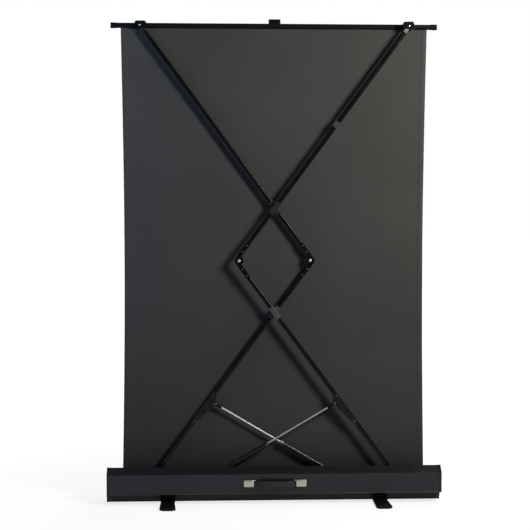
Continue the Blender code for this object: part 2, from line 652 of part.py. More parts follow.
def strut_bracket(out):
    # A plate riveted along the lower arm, with an ear and a stud for the strut's rod end.
    line = STRUT_ALONG * elbow_offset / ARM_LENGTH
    start, end = STRUT_ALONG - BRACKET_BEFORE, STRUT_ALONG + BRACKET_BEYOND
    outline = [(start, line - BRACKET_EDGE), (end, line - BRACKET_EDGE), (end, line + BRACKET_EDGE)]
    outline += arc((STRUT_ALONG, STRUT_ASIDE), EYE_R, pi / 6, 5 * pi / 6, 8)
    outline += [(start, line + BRACKET_EDGE)]
    side = [(along, out * aside) for along, aside in outline]
    plate = extrusion([side], PLATE_T, UPRIGHT, (0, inner_plate_y - PLATE_T / 2, 0))
    stud_end = EYE_DEPTH / 2 + GAP
    stud = stud_end - inner_plate_y + PLATE_T / 2 + EYE_PIN_HEAD_T / 2
    middle = (STRUT_ALONG, inner_plate_y - PLATE_T / 2 + stud / 2, out * STRUT_ASIDE)
    added = [cylinder(EYE_PIN_R, stud, UPRIGHT, middle)]
    head = (STRUT_ALONG, stud_end + EYE_PIN_HEAD_T / 2, out * STRUT_ASIDE)
    added.append(cylinder(EYE_PIN_HEAD_R, EYE_PIN_HEAD_T, UPRIGHT, head))
    for along in (start + BRACKET_RIVET_INSET, end - BRACKET_RIVET_INSET):
        height = RIVET_HEAD_T + PLATE_T / 2
        middle = (along, inner_plate_y - PLATE_T / 2 - height / 2, out * line)
        added.append(cylinder(SMALL_RIVET_R, height, UPRIGHT, middle, 16))
    return combined(plate, added)


def sleeve_mesh(length):
    width = ARM_WIDTH + 2 * (GAP + SLEEVE_WALL)
    outer = rounded_rectangle(sleeve_depth, width, SLEEVE_CORNER)
    return extrusion([outer, rectangle(ARM_DEPTH + 2 * GAP, ARM_WIDTH + 2 * GAP)], length, SECTION)


def tongue_mesh():
    # A flat bar in the top end of an upper arm, with a round head on the batten pivot.
    half = ARM_WIDTH / 2 - ARM_WALL - GAP
    back = -TONGUE_REACH - TONGUE_GRIP
    neck = asin(half / TONGUE_HEAD_R)
    outline = [(back, -half)] + arc((0, 0), TONGUE_HEAD_R, neck - pi, pi - neck, 14) + [(back, half)]
    thickness = ARM_DEPTH - 2 * (ARM_WALL + GAP)
    return extrusion([outline, circle(PIN_R + GAP)], thickness, UPRIGHT)


def make_strut(name, arm, out, heading):
    # Rod hinged on the arm's bracket, tube on the rod; the tube's pin lies between the cheeks of the anchor.
    base_x = PIVOT_SPAN - STRUT_ALONG * cos(RAISED_ANGLE) - STRUT_ASIDE * sin(RAISED_ANGLE)
    base_z = pivot_z + STRUT_ALONG * sin(RAISED_ANGLE) - STRUT_ASIDE * cos(RAISED_ANGLE)
    across, drop = base_x + STRUT_ANCHOR_X, base_z - anchor_z
    length = hypot(across, drop)
    turn = atan2(drop, across) if out < 0 else pi - atan2(drop, across)
    pivot = frame(name + "_strut_frame", (STRUT_ALONG, 0, out * STRUT_ASIDE), turn - heading, arm)

    rod_end = ROD_SHOWN + ROD_HELD
    rod = cylinder(EYE_R, EYE_DEPTH, UPRIGHT)
    shank = cylinder(STRUT_ROD_R, rod_end - EYE_R / 2, SECTION, ((rod_end + EYE_R / 2) / 2, 0, 0), 16)
    middle = ((FITTING_LENGTH + EYE_R / 2) / 2, 0, 0)
    fitting = cylinder(FITTING_R, FITTING_LENGTH - EYE_R / 2, SECTION, middle, 16)
    rod = combined(rod, [shank, fitting])
    bore = cylinder(EYE_PIN_R + GAP, 2 * EYE_DEPTH, UPRIGHT)
    piece(name + "_strut_rod", combined(rod, [bore], "DIFFERENCE"), bare_steel, pivot)

    back = length - EYE_R
    deep = rod_end + BORE_SPARE - ROD_HELD
    hole = STRUT_ROD_R + GAP
    barrel = [(0, -deep), (hole, -deep), (hole, -ROD_SHOWN), (STRUT_TUBE_R, -ROD_SHOWN),
              (STRUT_TUBE_R, -back), (0, -back)]
    tube = turned(barrel, Matrix.Rotation(-pi / 2, 4, "Y"))
    eye = cylinder(EYE_R, EYE_DEPTH, UPRIGHT, (length, 0, 0))
    neck = cylinder(FITTING_R, 2 * EYE_R, SECTION, (back, 0, 0), 16)
    pin = cylinder(EYE_PIN_HEAD_R, 2 * STRUT_TUBE_R, UPRIGHT, (length, 0, 0))
    piece(name + "_strut_tube", combined(tube, [neck, eye, pin]), arm_black, pivot)


def make_chain(lower, upper, layer, out):
    # One lower arm, its elbow and one upper arm. out is the side of the pivot line where the tubes lie.
    way = -out
    heading = -RAISED_ANGLE if way > 0 else RAISED_ANGLE - pi
    arm = frame(lower + "_lower_frame", (-way * PIVOT_SPAN, layer, pivot_z), heading)
    elbow = frame(upper + "_upper_frame", (ARM_LENGTH, 0, 0), -way * (pi - 2 * RAISED_ANGLE), arm)

    start, end = -ARM_TAIL, tube_end - ELBOW_TRIM
    tube = tube_mesh(start, end)
    bore = cylinder(PIN_R + GAP, 2 * ARM_DEPTH, UPRIGHT, (-(start + end) / 2, 0, 0))
    piece(lower + "_lower_arm", combined(tube, [bore], "DIFFERENCE"), arm_black, arm,
          **on_tube(False, out, (start + end) / 2))
    piece(lower + "_lower_elbow_plate", elbow_plate(False, out), arm_black, arm)
    piece(lower + "_strut_bracket", strut_bracket(out), arm_black, arm)
    near, far = inner_plate_y + GAP, outer_plate_y - PLATE_T - GAP
    rivet = [(0, RIVET_HEAD_T - far), (ELBOW_HEAD_R, RIVET_HEAD_T - far), (ELBOW_HEAD_R, -far),
             (ELBOW_RIVET_R, -far), (ELBOW_RIVET_R, -near), (SMALL_RIVET_R + GAP + RIVET_HEAD_T, -near),
             (SMALL_RIVET_R + GAP + RIVET_HEAD_T, -near - RIVET_HEAD_T), (0, -near - RIVET_HEAD_T)]
    row = "front" if layer > layer_b else "rear"
    piece(row + "_elbow_rivet", turned(rivet, UPRIGHT), bare_steel, arm, (ARM_LENGTH, 0, 0))
    make_strut(lower, arm, out, heading)

    start, end = TONGUE_REACH, tube_end - ELBOW_TRIM
    piece(upper + "_upper_arm", tube_mesh(start, end), arm_black, elbow,
          **on_tube(True, out, (start + end) / 2))
    piece(upper + "_upper_elbow_plate", elbow_plate(True, out), arm_black, elbow)
    piece(upper + "_tongue", tongue_mesh(), bare_steel, elbow, **on_tube(True, out, 0))

    for name, parent, is_upper in (("lower", arm, False), ("upper", elbow, True)):
        sleeve = sleeve_mesh(SLEEVE_LENGTH)
        if row == "front":
            reach = layer_pitch - sleeve_depth - GAP
            middle = (0, -sleeve_depth / 2 - reach / 2 + SLEEVE_WALL / 4, 0)
            sleeve = combined(sleeve, [cylinder(SLEEVE_PIN_R, reach + SLEEVE_WALL / 2, UPRIGHT, middle)])
        piece(name + "_" + row + "_sleeve", sleeve, sleeve_grey, parent, **on_tube(is_upper, out, crossing))
    if row == "rear":
        piece("sleeve_stop", sleeve_mesh(STOP_LENGTH), sleeve_grey, elbow,
              **on_tube(True, out, stop_from_top))


make_case()
make_handle()
make_feet()
make_roller()
make_fabric()
make_batten()
make_chain("left", "left", layer_a, -1)
make_chain("right", "right", layer_b, 1)
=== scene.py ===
import json
from math import atan, atan2, cos, pi, radians, sin, tau

import bmesh
import bpy
from mathutils import Matrix, Vector

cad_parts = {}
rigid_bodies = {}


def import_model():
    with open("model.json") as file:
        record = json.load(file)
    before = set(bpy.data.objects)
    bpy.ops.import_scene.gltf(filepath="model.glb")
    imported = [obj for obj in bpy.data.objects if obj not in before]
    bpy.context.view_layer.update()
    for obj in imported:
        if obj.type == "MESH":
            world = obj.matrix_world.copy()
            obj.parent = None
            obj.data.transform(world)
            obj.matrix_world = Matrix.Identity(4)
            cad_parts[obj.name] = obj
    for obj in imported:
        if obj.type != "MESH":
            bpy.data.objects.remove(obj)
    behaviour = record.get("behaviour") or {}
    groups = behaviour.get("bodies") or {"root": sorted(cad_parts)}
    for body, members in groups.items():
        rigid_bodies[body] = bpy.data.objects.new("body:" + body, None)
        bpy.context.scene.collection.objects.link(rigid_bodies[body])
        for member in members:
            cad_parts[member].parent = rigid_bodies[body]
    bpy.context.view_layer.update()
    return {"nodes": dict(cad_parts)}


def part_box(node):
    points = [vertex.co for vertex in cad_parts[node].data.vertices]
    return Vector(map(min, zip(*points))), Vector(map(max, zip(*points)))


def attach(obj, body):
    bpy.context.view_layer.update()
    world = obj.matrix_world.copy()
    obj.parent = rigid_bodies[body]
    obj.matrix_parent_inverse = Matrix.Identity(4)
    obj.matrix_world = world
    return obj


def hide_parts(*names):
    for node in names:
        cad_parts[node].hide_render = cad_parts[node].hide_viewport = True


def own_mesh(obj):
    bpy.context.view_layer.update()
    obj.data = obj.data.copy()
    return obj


for leftover in list(bpy.data.objects):
    bpy.data.objects.remove(leftover)
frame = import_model()
scene = bpy.context.scene
scene.view_settings.view_transform = "Standard"
print("frame loaded:", len(frame["nodes"]), "nodes")

# where the arms and struts lie at rest, as in the solid model
linkage = {
    "pivotSpan": 0.538,
    "pivotHeight": 0.0425,
    "armLength": 1.160,
    "raised": radians(54.0),
    "elbowOffset": 0.010,
    "frontLayer": -0.003275,
    "rearLayer": -0.023575,
    "strutTop": (-0.24321, 0.40061),
    "strutFoot": (0.357, 0.045),
    "rodShown": 0.313,
}
# the chain of arms that starts on the left, and its mirror image
chains = ((1, "left"), (-1, "right"))
# how far small pieces sink into what carries them, or stand off it
touch = 0.00005


def layerOf(side):
    return linkage["frontLayer"] if side > 0 else linkage["rearLayer"]


def elbowPoint():
    # the elbow of the chain that starts on the left, in X and Z
    raised, reach = linkage["raised"], linkage["armLength"]
    return -linkage["pivotSpan"] + reach * cos(raised), linkage["pivotHeight"] + reach * sin(raised)


def both(part):
    return ["left_" + part, "right_" + part]


def grey(level):
    return (level, level, level)


# helpers for finishes

# values that the finishes share
finishing = {"noiseRough": 0.55, "bumpReach": 0.0002, "bevelSamples": 4, "leanSpan": (0.75, 0.98),
             "wearScale": 85, "wearDetail": 5, "worn": (0.09, 0.09, 0.092), "polish": 0.25, "rub": 0.4}


def startFinish(name):
    finish = bpy.data.materials.new(name)
    finish.use_nodes = True
    tree = finish.node_tree
    return finish, tree, tree.nodes["Principled BSDF"]


def plug(tree, node, sockets):
    # links a socket that is given an output, and sets one that is given a value
    for key, value in sockets.items():
        if isinstance(value, bpy.types.NodeSocket):
            tree.links.new(value, node.inputs[key])
        else:
            node.inputs[key].default_value = value
    return node


def addNode(tree, kind, sockets=None, **settings):
    node = tree.nodes.new(kind)
    for key, value in settings.items():
        setattr(node, key, value)
    return plug(tree, node, sockets or {})


def objectSpace(tree, stretch=(1, 1, 1)):
    place = addNode(tree, "ShaderNodeTexCoord").outputs["Object"]
    return addNode(tree, "ShaderNodeMapping", {"Vector": place, "Scale": stretch}).outputs["Vector"]


def noiseAt(tree, space, scale, detail=3.0):
    noise = addNode(tree, "ShaderNodeTexNoise", {
        "Vector": space, "Scale": scale, "Detail": detail, "Roughness": finishing["noiseRough"]})
    return noise.outputs["Fac"]


def shadeBetween(tree, amount, dark, light, low=0.35, high=0.65):
    ramp = addNode(tree, "ShaderNodeValToRGB", {"Fac": amount})
    for stop, position, colour in zip(ramp.color_ramp.elements, (low, high), (dark, light)):
        stop.position = position
        stop.color = (*colour, 1)
    return ramp.outputs["Color"]


def spread(tree, amount, low, high, inLow=0.3, inHigh=0.7):
    ranged = addNode(tree, "ShaderNodeMapRange", {
        "Value": amount, "From Min": inLow, "From Max": inHigh, "To Min": low, "To Max": high})
    return ranged.outputs["Result"]


def calc(tree, operation, first, second=0.0):
    return addNode(tree, "ShaderNodeMath", {0: first, 1: second}, operation=operation).outputs["Value"]


def splitAxes(tree, vector):
    return addNode(tree, "ShaderNodeSeparateXYZ", {"Vector": vector}).outputs


def mixColour(tree, amount, first, second):
    mix = addNode(tree, "ShaderNodeMix", {"Factor": amount, "A": first, "B": (*second, 1)}, data_type="RGBA")
    return mix.outputs["Result"]


def bumpBy(tree, height, strength, below=None, reach=finishing["bumpReach"]):
    bump = addNode(tree, "ShaderNodeBump", {"Height": height, "Strength": strength, "Distance": reach})
    if below is not None:
        plug(tree, bump, {"Normal": below})
    return bump.outputs["Normal"]


def softEdges(tree, radius):
    # a rounded normal at the edges, and how far it leans from the face: where the finish wears
    bevel = addNode(tree, "ShaderNodeBevel", {"Radius": radius}, samples=finishing["bevelSamples"])
    rounded = bevel.outputs["Normal"]
    face = addNode(tree, "ShaderNodeNewGeometry").outputs["True Normal"]
    lean = addNode(tree, "ShaderNodeVectorMath", {0: rounded, 1: face}, operation="DOT_PRODUCT")
    return rounded, spread(tree, lean.outputs["Value"], 1.0, 0.0, *finishing["leanSpan"])


def crownAcross(tree, below, start, end, steep):
    # leans the normal outwards over the width of a tube that runs from start to end, given in X and Z
    run = (Vector(end) - Vector(start)).normalized()
    place = addNode(tree, "ShaderNodeTexCoord").outputs["Object"]
    sides = (run[1], 0, -run[0])
    across = addNode(tree, "ShaderNodeVectorMath", {0: place, 1: sides}, operation="DOT_PRODUCT")
    offset = calc(tree, "SUBTRACT", across.outputs["Value"], start[0] * run[1] - start[1] * run[0])
    height = calc(tree, "MULTIPLY", calc(tree, "MULTIPLY", offset, offset), -steep)
    return bumpBy(tree, height, 1.0, below, 1.0)


# finishes

def coatedMetal(name, look):
    # powder or enamel coat: slight mottling, fine orange peel, coat worn thin along the edges
    finish, tree, shader = startFinish(name)
    mottle = noiseAt(tree, objectSpace(tree, look.get("stretch", (1, 1, 1))), look["mottle"], 4)
    coat = shadeBetween(tree, mottle, look["dark"], look["light"])
    rounded, edges = softEdges(tree, look["edge"])
    if "crown" in look:
        rounded = crownAcross(tree, rounded, *look["crown"])
    rough = spread(tree, mottle, *look["rough"])
    if "matt" in look:
        # what faces up has a rougher coat and painted shade, a darker colour, as the sloped shoulder shows
        face = addNode(tree, "ShaderNodeNewGeometry").outputs["True Normal"]
        upward = spread(tree, splitAxes(tree, face)["Z"], 0.0, 1.0)
        coat = mixColour(tree, upward, coat, look["matt"])
        rough = calc(tree, "ADD", rough, calc(tree, "MULTIPLY", upward, look["mattRough"]))
    patches = noiseAt(tree, objectSpace(tree), finishing["wearScale"], finishing["wearDetail"])
    wear = calc(tree, "MULTIPLY", edges, spread(tree, patches, 0.0, look["wear"]))
    peel = noiseAt(tree, objectSpace(tree), look["peel"], 2)
    plug(tree, shader, {
        "Base Color": mixColour(tree, wear, coat, finishing["worn"]), "Roughness": rough,
        "Normal": bumpBy(tree, peel, look["peelDepth"], rounded), "Specular IOR Level": look["gloss"],
        "Specular Tint": (*look.get("sheenTint", (1, 1, 1)), 1)})
    return finish


def mouldedPlastic(name, look):
    # spark-eroded mould texture over a faint cloudiness, edges polished by handling
    finish, tree, shader = startFinish(name)
    space = objectSpace(tree)
    cloud = noiseAt(tree, space, look["cloud"], 3)
    rounded, edges = softEdges(tree, look["edge"])
    colour = shadeBetween(tree, cloud, look["dark"], look["light"])
    polish = calc(tree, "MULTIPLY", edges, finishing["polish"])
    cells = addNode(tree, "ShaderNodeTexVoronoi", {"Vector": space, "Scale": look["spark"]}, feature="F1")
    plug(tree, shader, {
        "Base Color": mixColour(tree, polish, colour, look["polished"]),
        "Roughness": spread(tree, cloud, *look["rough"]),
        "Normal": bumpBy(tree, cells.outputs["Distance"], look["sparkDepth"], rounded),
        "Specular IOR Level": look["gloss"]})
    return finish


def bareMetal(name, look):
    # drawn or turned metal: fine streaks, brighter where edges are rubbed
    finish, tree, shader = startFinish(name)
    streak = noiseAt(tree, objectSpace(tree, look.get("stretch", (1, 1, 1))), look["streak"], 3)
    rounded, edges = softEdges(tree, look["edge"])
    colour = shadeBetween(tree, streak, look["dark"], look["light"])
    rubbed = calc(tree, "MULTIPLY", edges, finishing["rub"])
    plug(tree, shader, {
        "Base Color": mixColour(tree, rubbed, colour, look["rubbed"]),
        "Roughness": spread(tree, streak, *look["rough"]),
        "Normal": bumpBy(tree, streak, look["depth"], rounded), "Metallic": 1.0})
    return finish


# the colour given for up-facing faces is painted shade, darker than the coat itself
caseCoat = coatedMetal("caseCoat", {
    "dark": (0.0074, 0.0076, 0.0100), "light": (0.0102, 0.0105, 0.0136), "mottle": 9,
    "stretch": (0.25, 1, 1), "rough": (0.24, 0.34), "peel": 1400, "peelDepth": 0.06, "edge": 0.0010,
    "wear": 0.35, "gloss": 0.35, "sheenTint": (0.89, 0.92, 1.0), "matt": (0.0018, 0.0021, 0.0029),
    "mattRough": 0.22})
railCoat = coatedMetal("railCoat", {
    "dark": (0.0040, 0.0040, 0.0044), "light": (0.0065, 0.0065, 0.0070), "mottle": 12,
    "stretch": (0.2, 1, 1), "rough": (0.16, 0.24), "peel": 900, "peelDepth": 0.04, "edge": 0.0010,
    "wear": 0.25, "gloss": 0.24, "sheenTint": (0.88, 0.92, 1.0)})
battenCoat = coatedMetal("battenCoat", {
    "dark": (0.0036, 0.0042, 0.0053), "light": (0.0054, 0.0061, 0.0074), "mottle": 12,
    "stretch": (0.2, 1, 1), "rough": (0.48, 0.58), "peel": 1400, "peelDepth": 0.03, "edge": 0.0006,
    "wear": 0.2, "gloss": 0.07})
armLook = {
    "dark": (0.0026, 0.0026, 0.0029), "light": (0.0040, 0.0040, 0.0043), "mottle": 14,
    "rough": (0.19, 0.27), "peel": 1600, "peelDepth": 0.02, "edge": 0.0012, "wear": 0.15, "gloss": 0.16,
    "sheenTint": (0.90, 0.95, 1.0)}
armCoat = coatedMetal("armCoat", armLook)
strutCoat = coatedMetal("strutCoat", dict(armLook, rough=(0.20, 0.28), gloss=0.32))
bracketCoat = coatedMetal("bracketCoat", dict(
    armLook, dark=(0.0054, 0.0054, 0.0056), light=(0.0090, 0.0090, 0.0092), mottle=40,
    rough=(0.24, 0.36), wear=0.5, gloss=0.20))
footCoat = coatedMetal("footCoat", {
    "dark": (0.0022, 0.0026, 0.0036), "light": (0.0040, 0.0045, 0.0058), "mottle": 22,
    "rough": (0.40, 0.55), "peel": 700, "peelDepth": 0.14, "edge": 0.0012, "wear": 0.3, "gloss": 0.16})
capLook = {
    "dark": (0.0028, 0.0028, 0.0031), "light": (0.0045, 0.0045, 0.0049), "polished": (0.018, 0.018, 0.019),
    "cloud": 30, "spark": 1500, "sparkDepth": 0.10, "rough": (0.36, 0.48), "edge": 0.0009, "gloss": 0.10}
capPlastic = mouldedPlastic("capPlastic", capLook)
endPlastic = mouldedPlastic("endPlastic", dict(
    capLook, dark=(0.0064, 0.0066, 0.0088), light=(0.0090, 0.0093, 0.0120), polished=(0.03, 0.03, 0.032),
    rough=(0.30, 0.40), edge=0.0012, gloss=0.32))
sleeveLook = {
    "dark": grey(0.044), "light": grey(0.060), "polished": grey(0.12),
    "cloud": 40, "spark": 1700, "sparkDepth": 0.08, "rough": (0.40, 0.52), "edge": 0.0012, "gloss": 0.25}
sleevePlastic = mouldedPlastic("sleevePlastic", sleeveLook)
# the upper sleeves are the same plastic as the lower ones; their darker colour is painted shade
sleeveShadedCopy = mouldedPlastic("sleeveShadedCopy", dict(
    sleeveLook, dark=grey(0.012), light=grey(0.017), polished=grey(0.06), edge=0.0014, gloss=0.2))
stopPlastic = mouldedPlastic("stopPlastic", dict(
    sleeveLook, dark=(0.026, 0.026, 0.027), light=(0.036, 0.036, 0.037), polished=grey(0.08),
    sparkDepth=0.14, rough=(0.35, 0.48), gloss=0.4))
padRubber = mouldedPlastic("padRubber", {
    "dark": (0.022, 0.022, 0.023), "light": (0.034, 0.034, 0.035), "polished": grey(0.05),
    "cloud": 60, "spark": 1100, "sparkDepth": 0.3, "rough": (0.7, 0.85), "edge": 0.0006, "gloss": 0.2})
handleMetal = bareMetal("handleMetal", {
    "dark": (0.43, 0.42, 0.36), "light": (0.54, 0.53, 0.45), "rubbed": (0.6, 0.59, 0.54), "streak": 60,
    "stretch": (1, 1, 12), "rough": (0.36, 0.48), "depth": 0.06, "edge": 0.0012})
rodSteel = bareMetal("rodSteel", {
    "dark": (0.35, 0.35, 0.36), "light": (0.44, 0.44, 0.45), "rubbed": grey(0.55), "streak": 40,
    "rough": (0.48, 0.58), "depth": 0.03, "edge": 0.0004})
rivetSteel = bareMetal("rivetSteel", {
    "dark": grey(0.56), "light": grey(0.70), "rubbed": grey(0.8), "streak": 160,
    "rough": (0.26, 0.38), "depth": 0.05, "edge": 0.0006})
dullSteel = bareMetal("dullSteel", {
    "dark": (0.075, 0.075, 0.077), "light": (0.12, 0.12, 0.122), "rubbed": grey(0.2), "streak": 150,
    "rough": (0.32, 0.44), "depth": 0.05, "edge": 0.0005})
# one steel in a lit and a shaded copy: the right tongue's lighter colour is a painted highlight, the left
# tongue's darker colour is painted shade
tongueLook = {
    "dark": (0.11, 0.11, 0.105), "light": (0.16, 0.16, 0.152), "rubbed": grey(0.25), "streak": 90,
    "rough": (0.36, 0.46), "depth": 0.05, "edge": 0.0008}
tongueBright = bareMetal("tongueBright", tongueLook)
tongueShadedCopy = bareMetal("tongueShadedCopy", dict(
    tongueLook, dark=(0.040, 0.042, 0.050), light=(0.062, 0.064, 0.074), rubbed=grey(0.1)))
zincPlate = bareMetal("zincPlate", {
    "dark": (0.22, 0.225, 0.235), "light": (0.31, 0.315, 0.325), "rubbed": grey(0.45), "streak": 55,
    "rough": (0.38, 0.52), "depth": 0.08, "edge": 0.0006})
rollerMetal = bareMetal("rollerMetal", {
    "dark": (0.50, 0.51, 0.53), "light": (0.60, 0.61, 0.62), "rubbed": grey(0.7), "streak": 120,
    "stretch": (0.05, 1, 1), "rough": (0.36, 0.48), "depth": 0.05, "edge": 0.0006})


def dress(name, finish):
    node = frame["nodes"][name]
    node.data.materials.clear()
    node.data.materials.append(finish)


def armEnds(side, upper):
    # the pivot end and the elbow end of a tube, in X and Z; the elbow end lies beside the pivot line
    raised, offset = linkage["raised"], linkage["elbowOffset"]
    way = 1 if upper else -1
    elbowX, elbowZ = elbowPoint()
    rise = linkage["armLength"] * sin(raised)
    pivotZ = linkage["pivotHeight"] + (2 * rise if upper else 0)
    elbowZ += way * offset * cos(raised)
    return (-side * linkage["pivotSpan"], pivotZ), (side * (elbowX + offset * sin(raised)), elbowZ)


# each arm tube has a finish of its own, because its faces are crowned along its own line
tubeCrown = 28.0
for side, arm in chains:
    for upper, part in ((False, "lower"), (True, "upper")):
        tubeLook = dict(armLook, crown=(*armEnds(side, upper), tubeCrown))
        tubeCoat = coatedMetal("tubeCoat" + arm.title() + part.title(), tubeLook)
        dress(arm + "_" + part + "_arm", tubeCoat)

solidFinishes = [
    (caseCoat, ["rear_cover", "front_cover"]),
    (railCoat, ["base_tray"]),
    (battenCoat, ["batten_tube"]),
    (endPlastic, both("end_cap")),
    (capPlastic, both("batten_cap") + ["pull_clip", "roller_idle_plug", "roller_spring_plug"]),
    (armCoat, both("saddle") + both("top_rivet") + both("lower_elbow_plate") + both("upper_elbow_plate")),
    (bracketCoat, both("strut_bracket")),
    (strutCoat, both("strut_tube")),
    (footCoat, both("foot") + both("foot_mount")),
    (padRubber, both("rear_pad") + both("front_pad")),
    (sleevePlastic, ["lower_front_sleeve", "lower_rear_sleeve"]),
    (sleeveShadedCopy, ["upper_front_sleeve", "upper_rear_sleeve"]),
    (stopPlastic, ["sleeve_stop"]),
    (handleMetal, ["handle_left_cap", "handle_right_cap"]),
    (rodSteel, both("strut_rod") + ["spring_shaft", "roller_spring"]),
    (dullSteel, ["front_elbow_rivet", "rear_elbow_rivet"]),
    (tongueShadedCopy, ["left_tongue"]),
    (tongueBright, ["right_tongue"]),
    (zincPlate, both("base_bracket") + both("strut_anchor") + both("roller_bracket")),
    (rollerMetal, ["roller_tube"]),
]
for finish, names in solidFinishes:
    for name in names:
        dress(name, finish)
print("finishes on the solid pieces")


# helpers for meshes

def addPiece(name, body, finishes, build, smooth=40):
    mesh = bpy.data.meshes.new(name)
    work = bmesh.new()
    build(work)
    bmesh.ops.recalc_face_normals(work, faces=work.faces)
    work.to_mesh(mesh)
    work.free()
    for finish in finishes:
        mesh.materials.append(finish)
    mesh.shade_smooth()
    mesh.set_sharp_from_angle(angle=radians(smooth))
    made = bpy.data.objects.new(name, mesh)
    scene.collection.objects.link(made)
    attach(made, body)
    return made


def ringPoint(radius, angle, hexagon):
    if hexagon:
        radius /= cos((angle + pi / 6) % (pi / 3) - pi / 6)
    return radius * cos(angle), radius * sin(angle)


def lathe(work, profile, place, segments=24, loop=False, hexRings=()):
    # a profile of (radius, height) turned about the Z of the place; rings named in hexRings are hexagons
    tip = 1e-7
    rings = []
    for index, (radius, height) in enumerate(profile):
        if radius < tip:
            rings.append([work.verts.new(place @ Vector((0, 0, height)))])
            continue
        points = [ringPoint(radius, tau * i / segments, index in hexRings) for i in range(segments)]
        rings.append([work.verts.new(place @ Vector((x, y, height))) for x, y in points])
    pairs = list(zip(rings, rings[1:]))
    if loop:
        pairs.append((rings[-1], rings[0]))
    for above, below in pairs:
        for i in range(segments):
            j = (i + 1) % segments
            corners = [above[i % len(above)], above[j % len(above)]]
            corners += [below[j % len(below)], below[i % len(below)]]
            work.faces.new(list(dict.fromkeys(corners)))
    if not loop:
        for ring in (rings[0], rings[-1]):
            if len(ring) > 1:
                work.faces.new(ring)


def sweep(work, sections):
    # faces between rows of points; each row is a closed loop and both ends are capped
    rows = [[work.verts.new(point) for point in row] for row in sections]
    for above, below in zip(rows, rows[1:]):
        count = len(above)
        for i in range(count):
            j = (i + 1) % count
            work.faces.new((above[i], above[j], below[j], below[i]))
    work.faces.new(rows[0])
    work.faces.new(rows[-1][::-1])


def facing(centre, direction):
    # a place whose Z points along the direction
    turn = Vector(direction).normalized().to_track_quat("Z", "Y").to_matrix().to_4x4()
    return Matrix.Translation(Vector(centre)) @ turn


def halfTurn(steps, start=0.0):
    return [start + pi * i / steps for i in range(steps + 1)]


def barStations(low, high, run, share):
    # places along a small bar, with the share of its thickness that it has there
    return (low, share), (low + run, 1.0), (high - run, 1.0), (high, share)


# screen sheet

# a wave is (share of the ripple, half turns up the sheet, lean across it)
screenSheet = {"waist": 0.011, "columns": 56, "rows": 84, "ripple": 0.0011, "border": 0.040, "leader": 0.30,
               "waves": [(1.0, 7.0, 1.1), (0.5, 17.0, -2.0)], "thread": 0.0011, "overlap": 0.0008,
               "foldedHeight": 0.0649}
# the rubbed colour and its share are painted shade, laid on the sheet near the mouth
cloth = {"radiansPerScale": 20, "distortion": 0.6, "waveDetail": 1.0, "slub": 60, "slubStretch": (0.15, 1, 6),
         "cloud": 2.2, "cloudShare": 0.6, "slubShare": 0.4, "toneSpan": (0.38, 0.62), "pitShare": 0.35,
         "mask": (0.008, 0.008, 0.009), "mouthShadeShare": 0.6, "rubbed": (0.008, 0.008, 0.0085),
         "rough": (0.62, 0.78), "gloss": 0.2}
sheetLow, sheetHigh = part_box("screen_fabric")
sheetBase = sheetLow[2]
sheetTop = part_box("batten_tube")[0][2] + screenSheet["overlap"]
sheetHeight = sheetTop - sheetBase
sheetHalf = sheetHigh[0]
sheetY = (sheetLow[1] + sheetHigh[1]) / 2
sheetThick = sheetHigh[1] - sheetLow[1]


def screenFinish(name, look):
    finish, tree, shader = startFinish(name)
    space = objectSpace(tree)
    threads = []
    for way in ("X", "Z"):
        wave = addNode(tree, "ShaderNodeTexWave", {
            "Vector": space, "Scale": tau / cloth["radiansPerScale"] / look["thread"],
            "Distortion": cloth["distortion"], "Detail": cloth["waveDetail"]},
            wave_type="BANDS", bands_direction=way, wave_profile="SIN")
        threads.append(wave.outputs["Fac"])
    weave = calc(tree, "MULTIPLY", *threads)
    # thicker threads across the sheet, and shade between the threads
    slub = noiseAt(tree, objectSpace(tree, cloth["slubStretch"]), cloth["slub"], 4)
    cloud = noiseAt(tree, space, cloth["cloud"], 3)
    tone = calc(tree, "ADD", calc(tree, "MULTIPLY", cloud, cloth["cloudShare"]),
                calc(tree, "MULTIPLY", slub, cloth["slubShare"]))
    colour = shadeBetween(tree, tone, look["dark"], look["light"], *cloth["toneSpan"])
    colour = mixColour(tree, calc(tree, "MULTIPLY", weave, cloth["pitShare"]), colour, look["pits"])
    if "border" in look:
        # black masking round the white picture area
        place = splitAxes(tree, space)
        across = calc(tree, "ABSOLUTE", place["X"])
        sides = calc(tree, "GREATER_THAN", across, look["half"] - look["border"])
        above = calc(tree, "GREATER_THAN", place["Z"], look["top"] - look["border"])
        below = calc(tree, "LESS_THAN", place["Z"], look["bottom"])
        mask = calc(tree, "MAXIMUM", calc(tree, "MAXIMUM", sides, above), below)
        colour = mixColour(tree, mask, colour, cloth["mask"])
    if "mouthShade" in look:
        # painted shade: darker towards the mouth, where the case shades the sheet
        rub = spread(tree, splitAxes(tree, space)["Z"], cloth["mouthShadeShare"], 0.0, *look["mouthShade"])
        colour = mixColour(tree, rub, colour, cloth["rubbed"])
    plug(tree, shader, {
        "Base Color": colour, "Roughness": spread(tree, slub, *cloth["rough"]),
        "Normal": bumpBy(tree, weave, look["depth"]), "Specular IOR Level": cloth["gloss"],
        "Sheen Weight": look["sheen"]})
    return finish


screenRear = screenFinish("screenRear", {
    "dark": (0.0355, 0.0355, 0.0364), "light": (0.0440, 0.0440, 0.0448), "pits": (0.014, 0.014, 0.0145),
    "thread": screenSheet["thread"], "depth": 0.40, "sheen": 0.02, "mouthShade": (0.13, 0.30)})
screenFront = screenFinish("screenFront", {
    "dark": (0.78, 0.78, 0.77), "light": (0.82, 0.82, 0.81), "pits": (0.70, 0.70, 0.69),
    "thread": screenSheet["thread"] / 2, "depth": 0.1, "sheen": 0.0, "border": screenSheet["border"],
    "half": sheetHalf - screenSheet["waist"] / 2, "top": sheetTop, "bottom": screenSheet["leader"]})


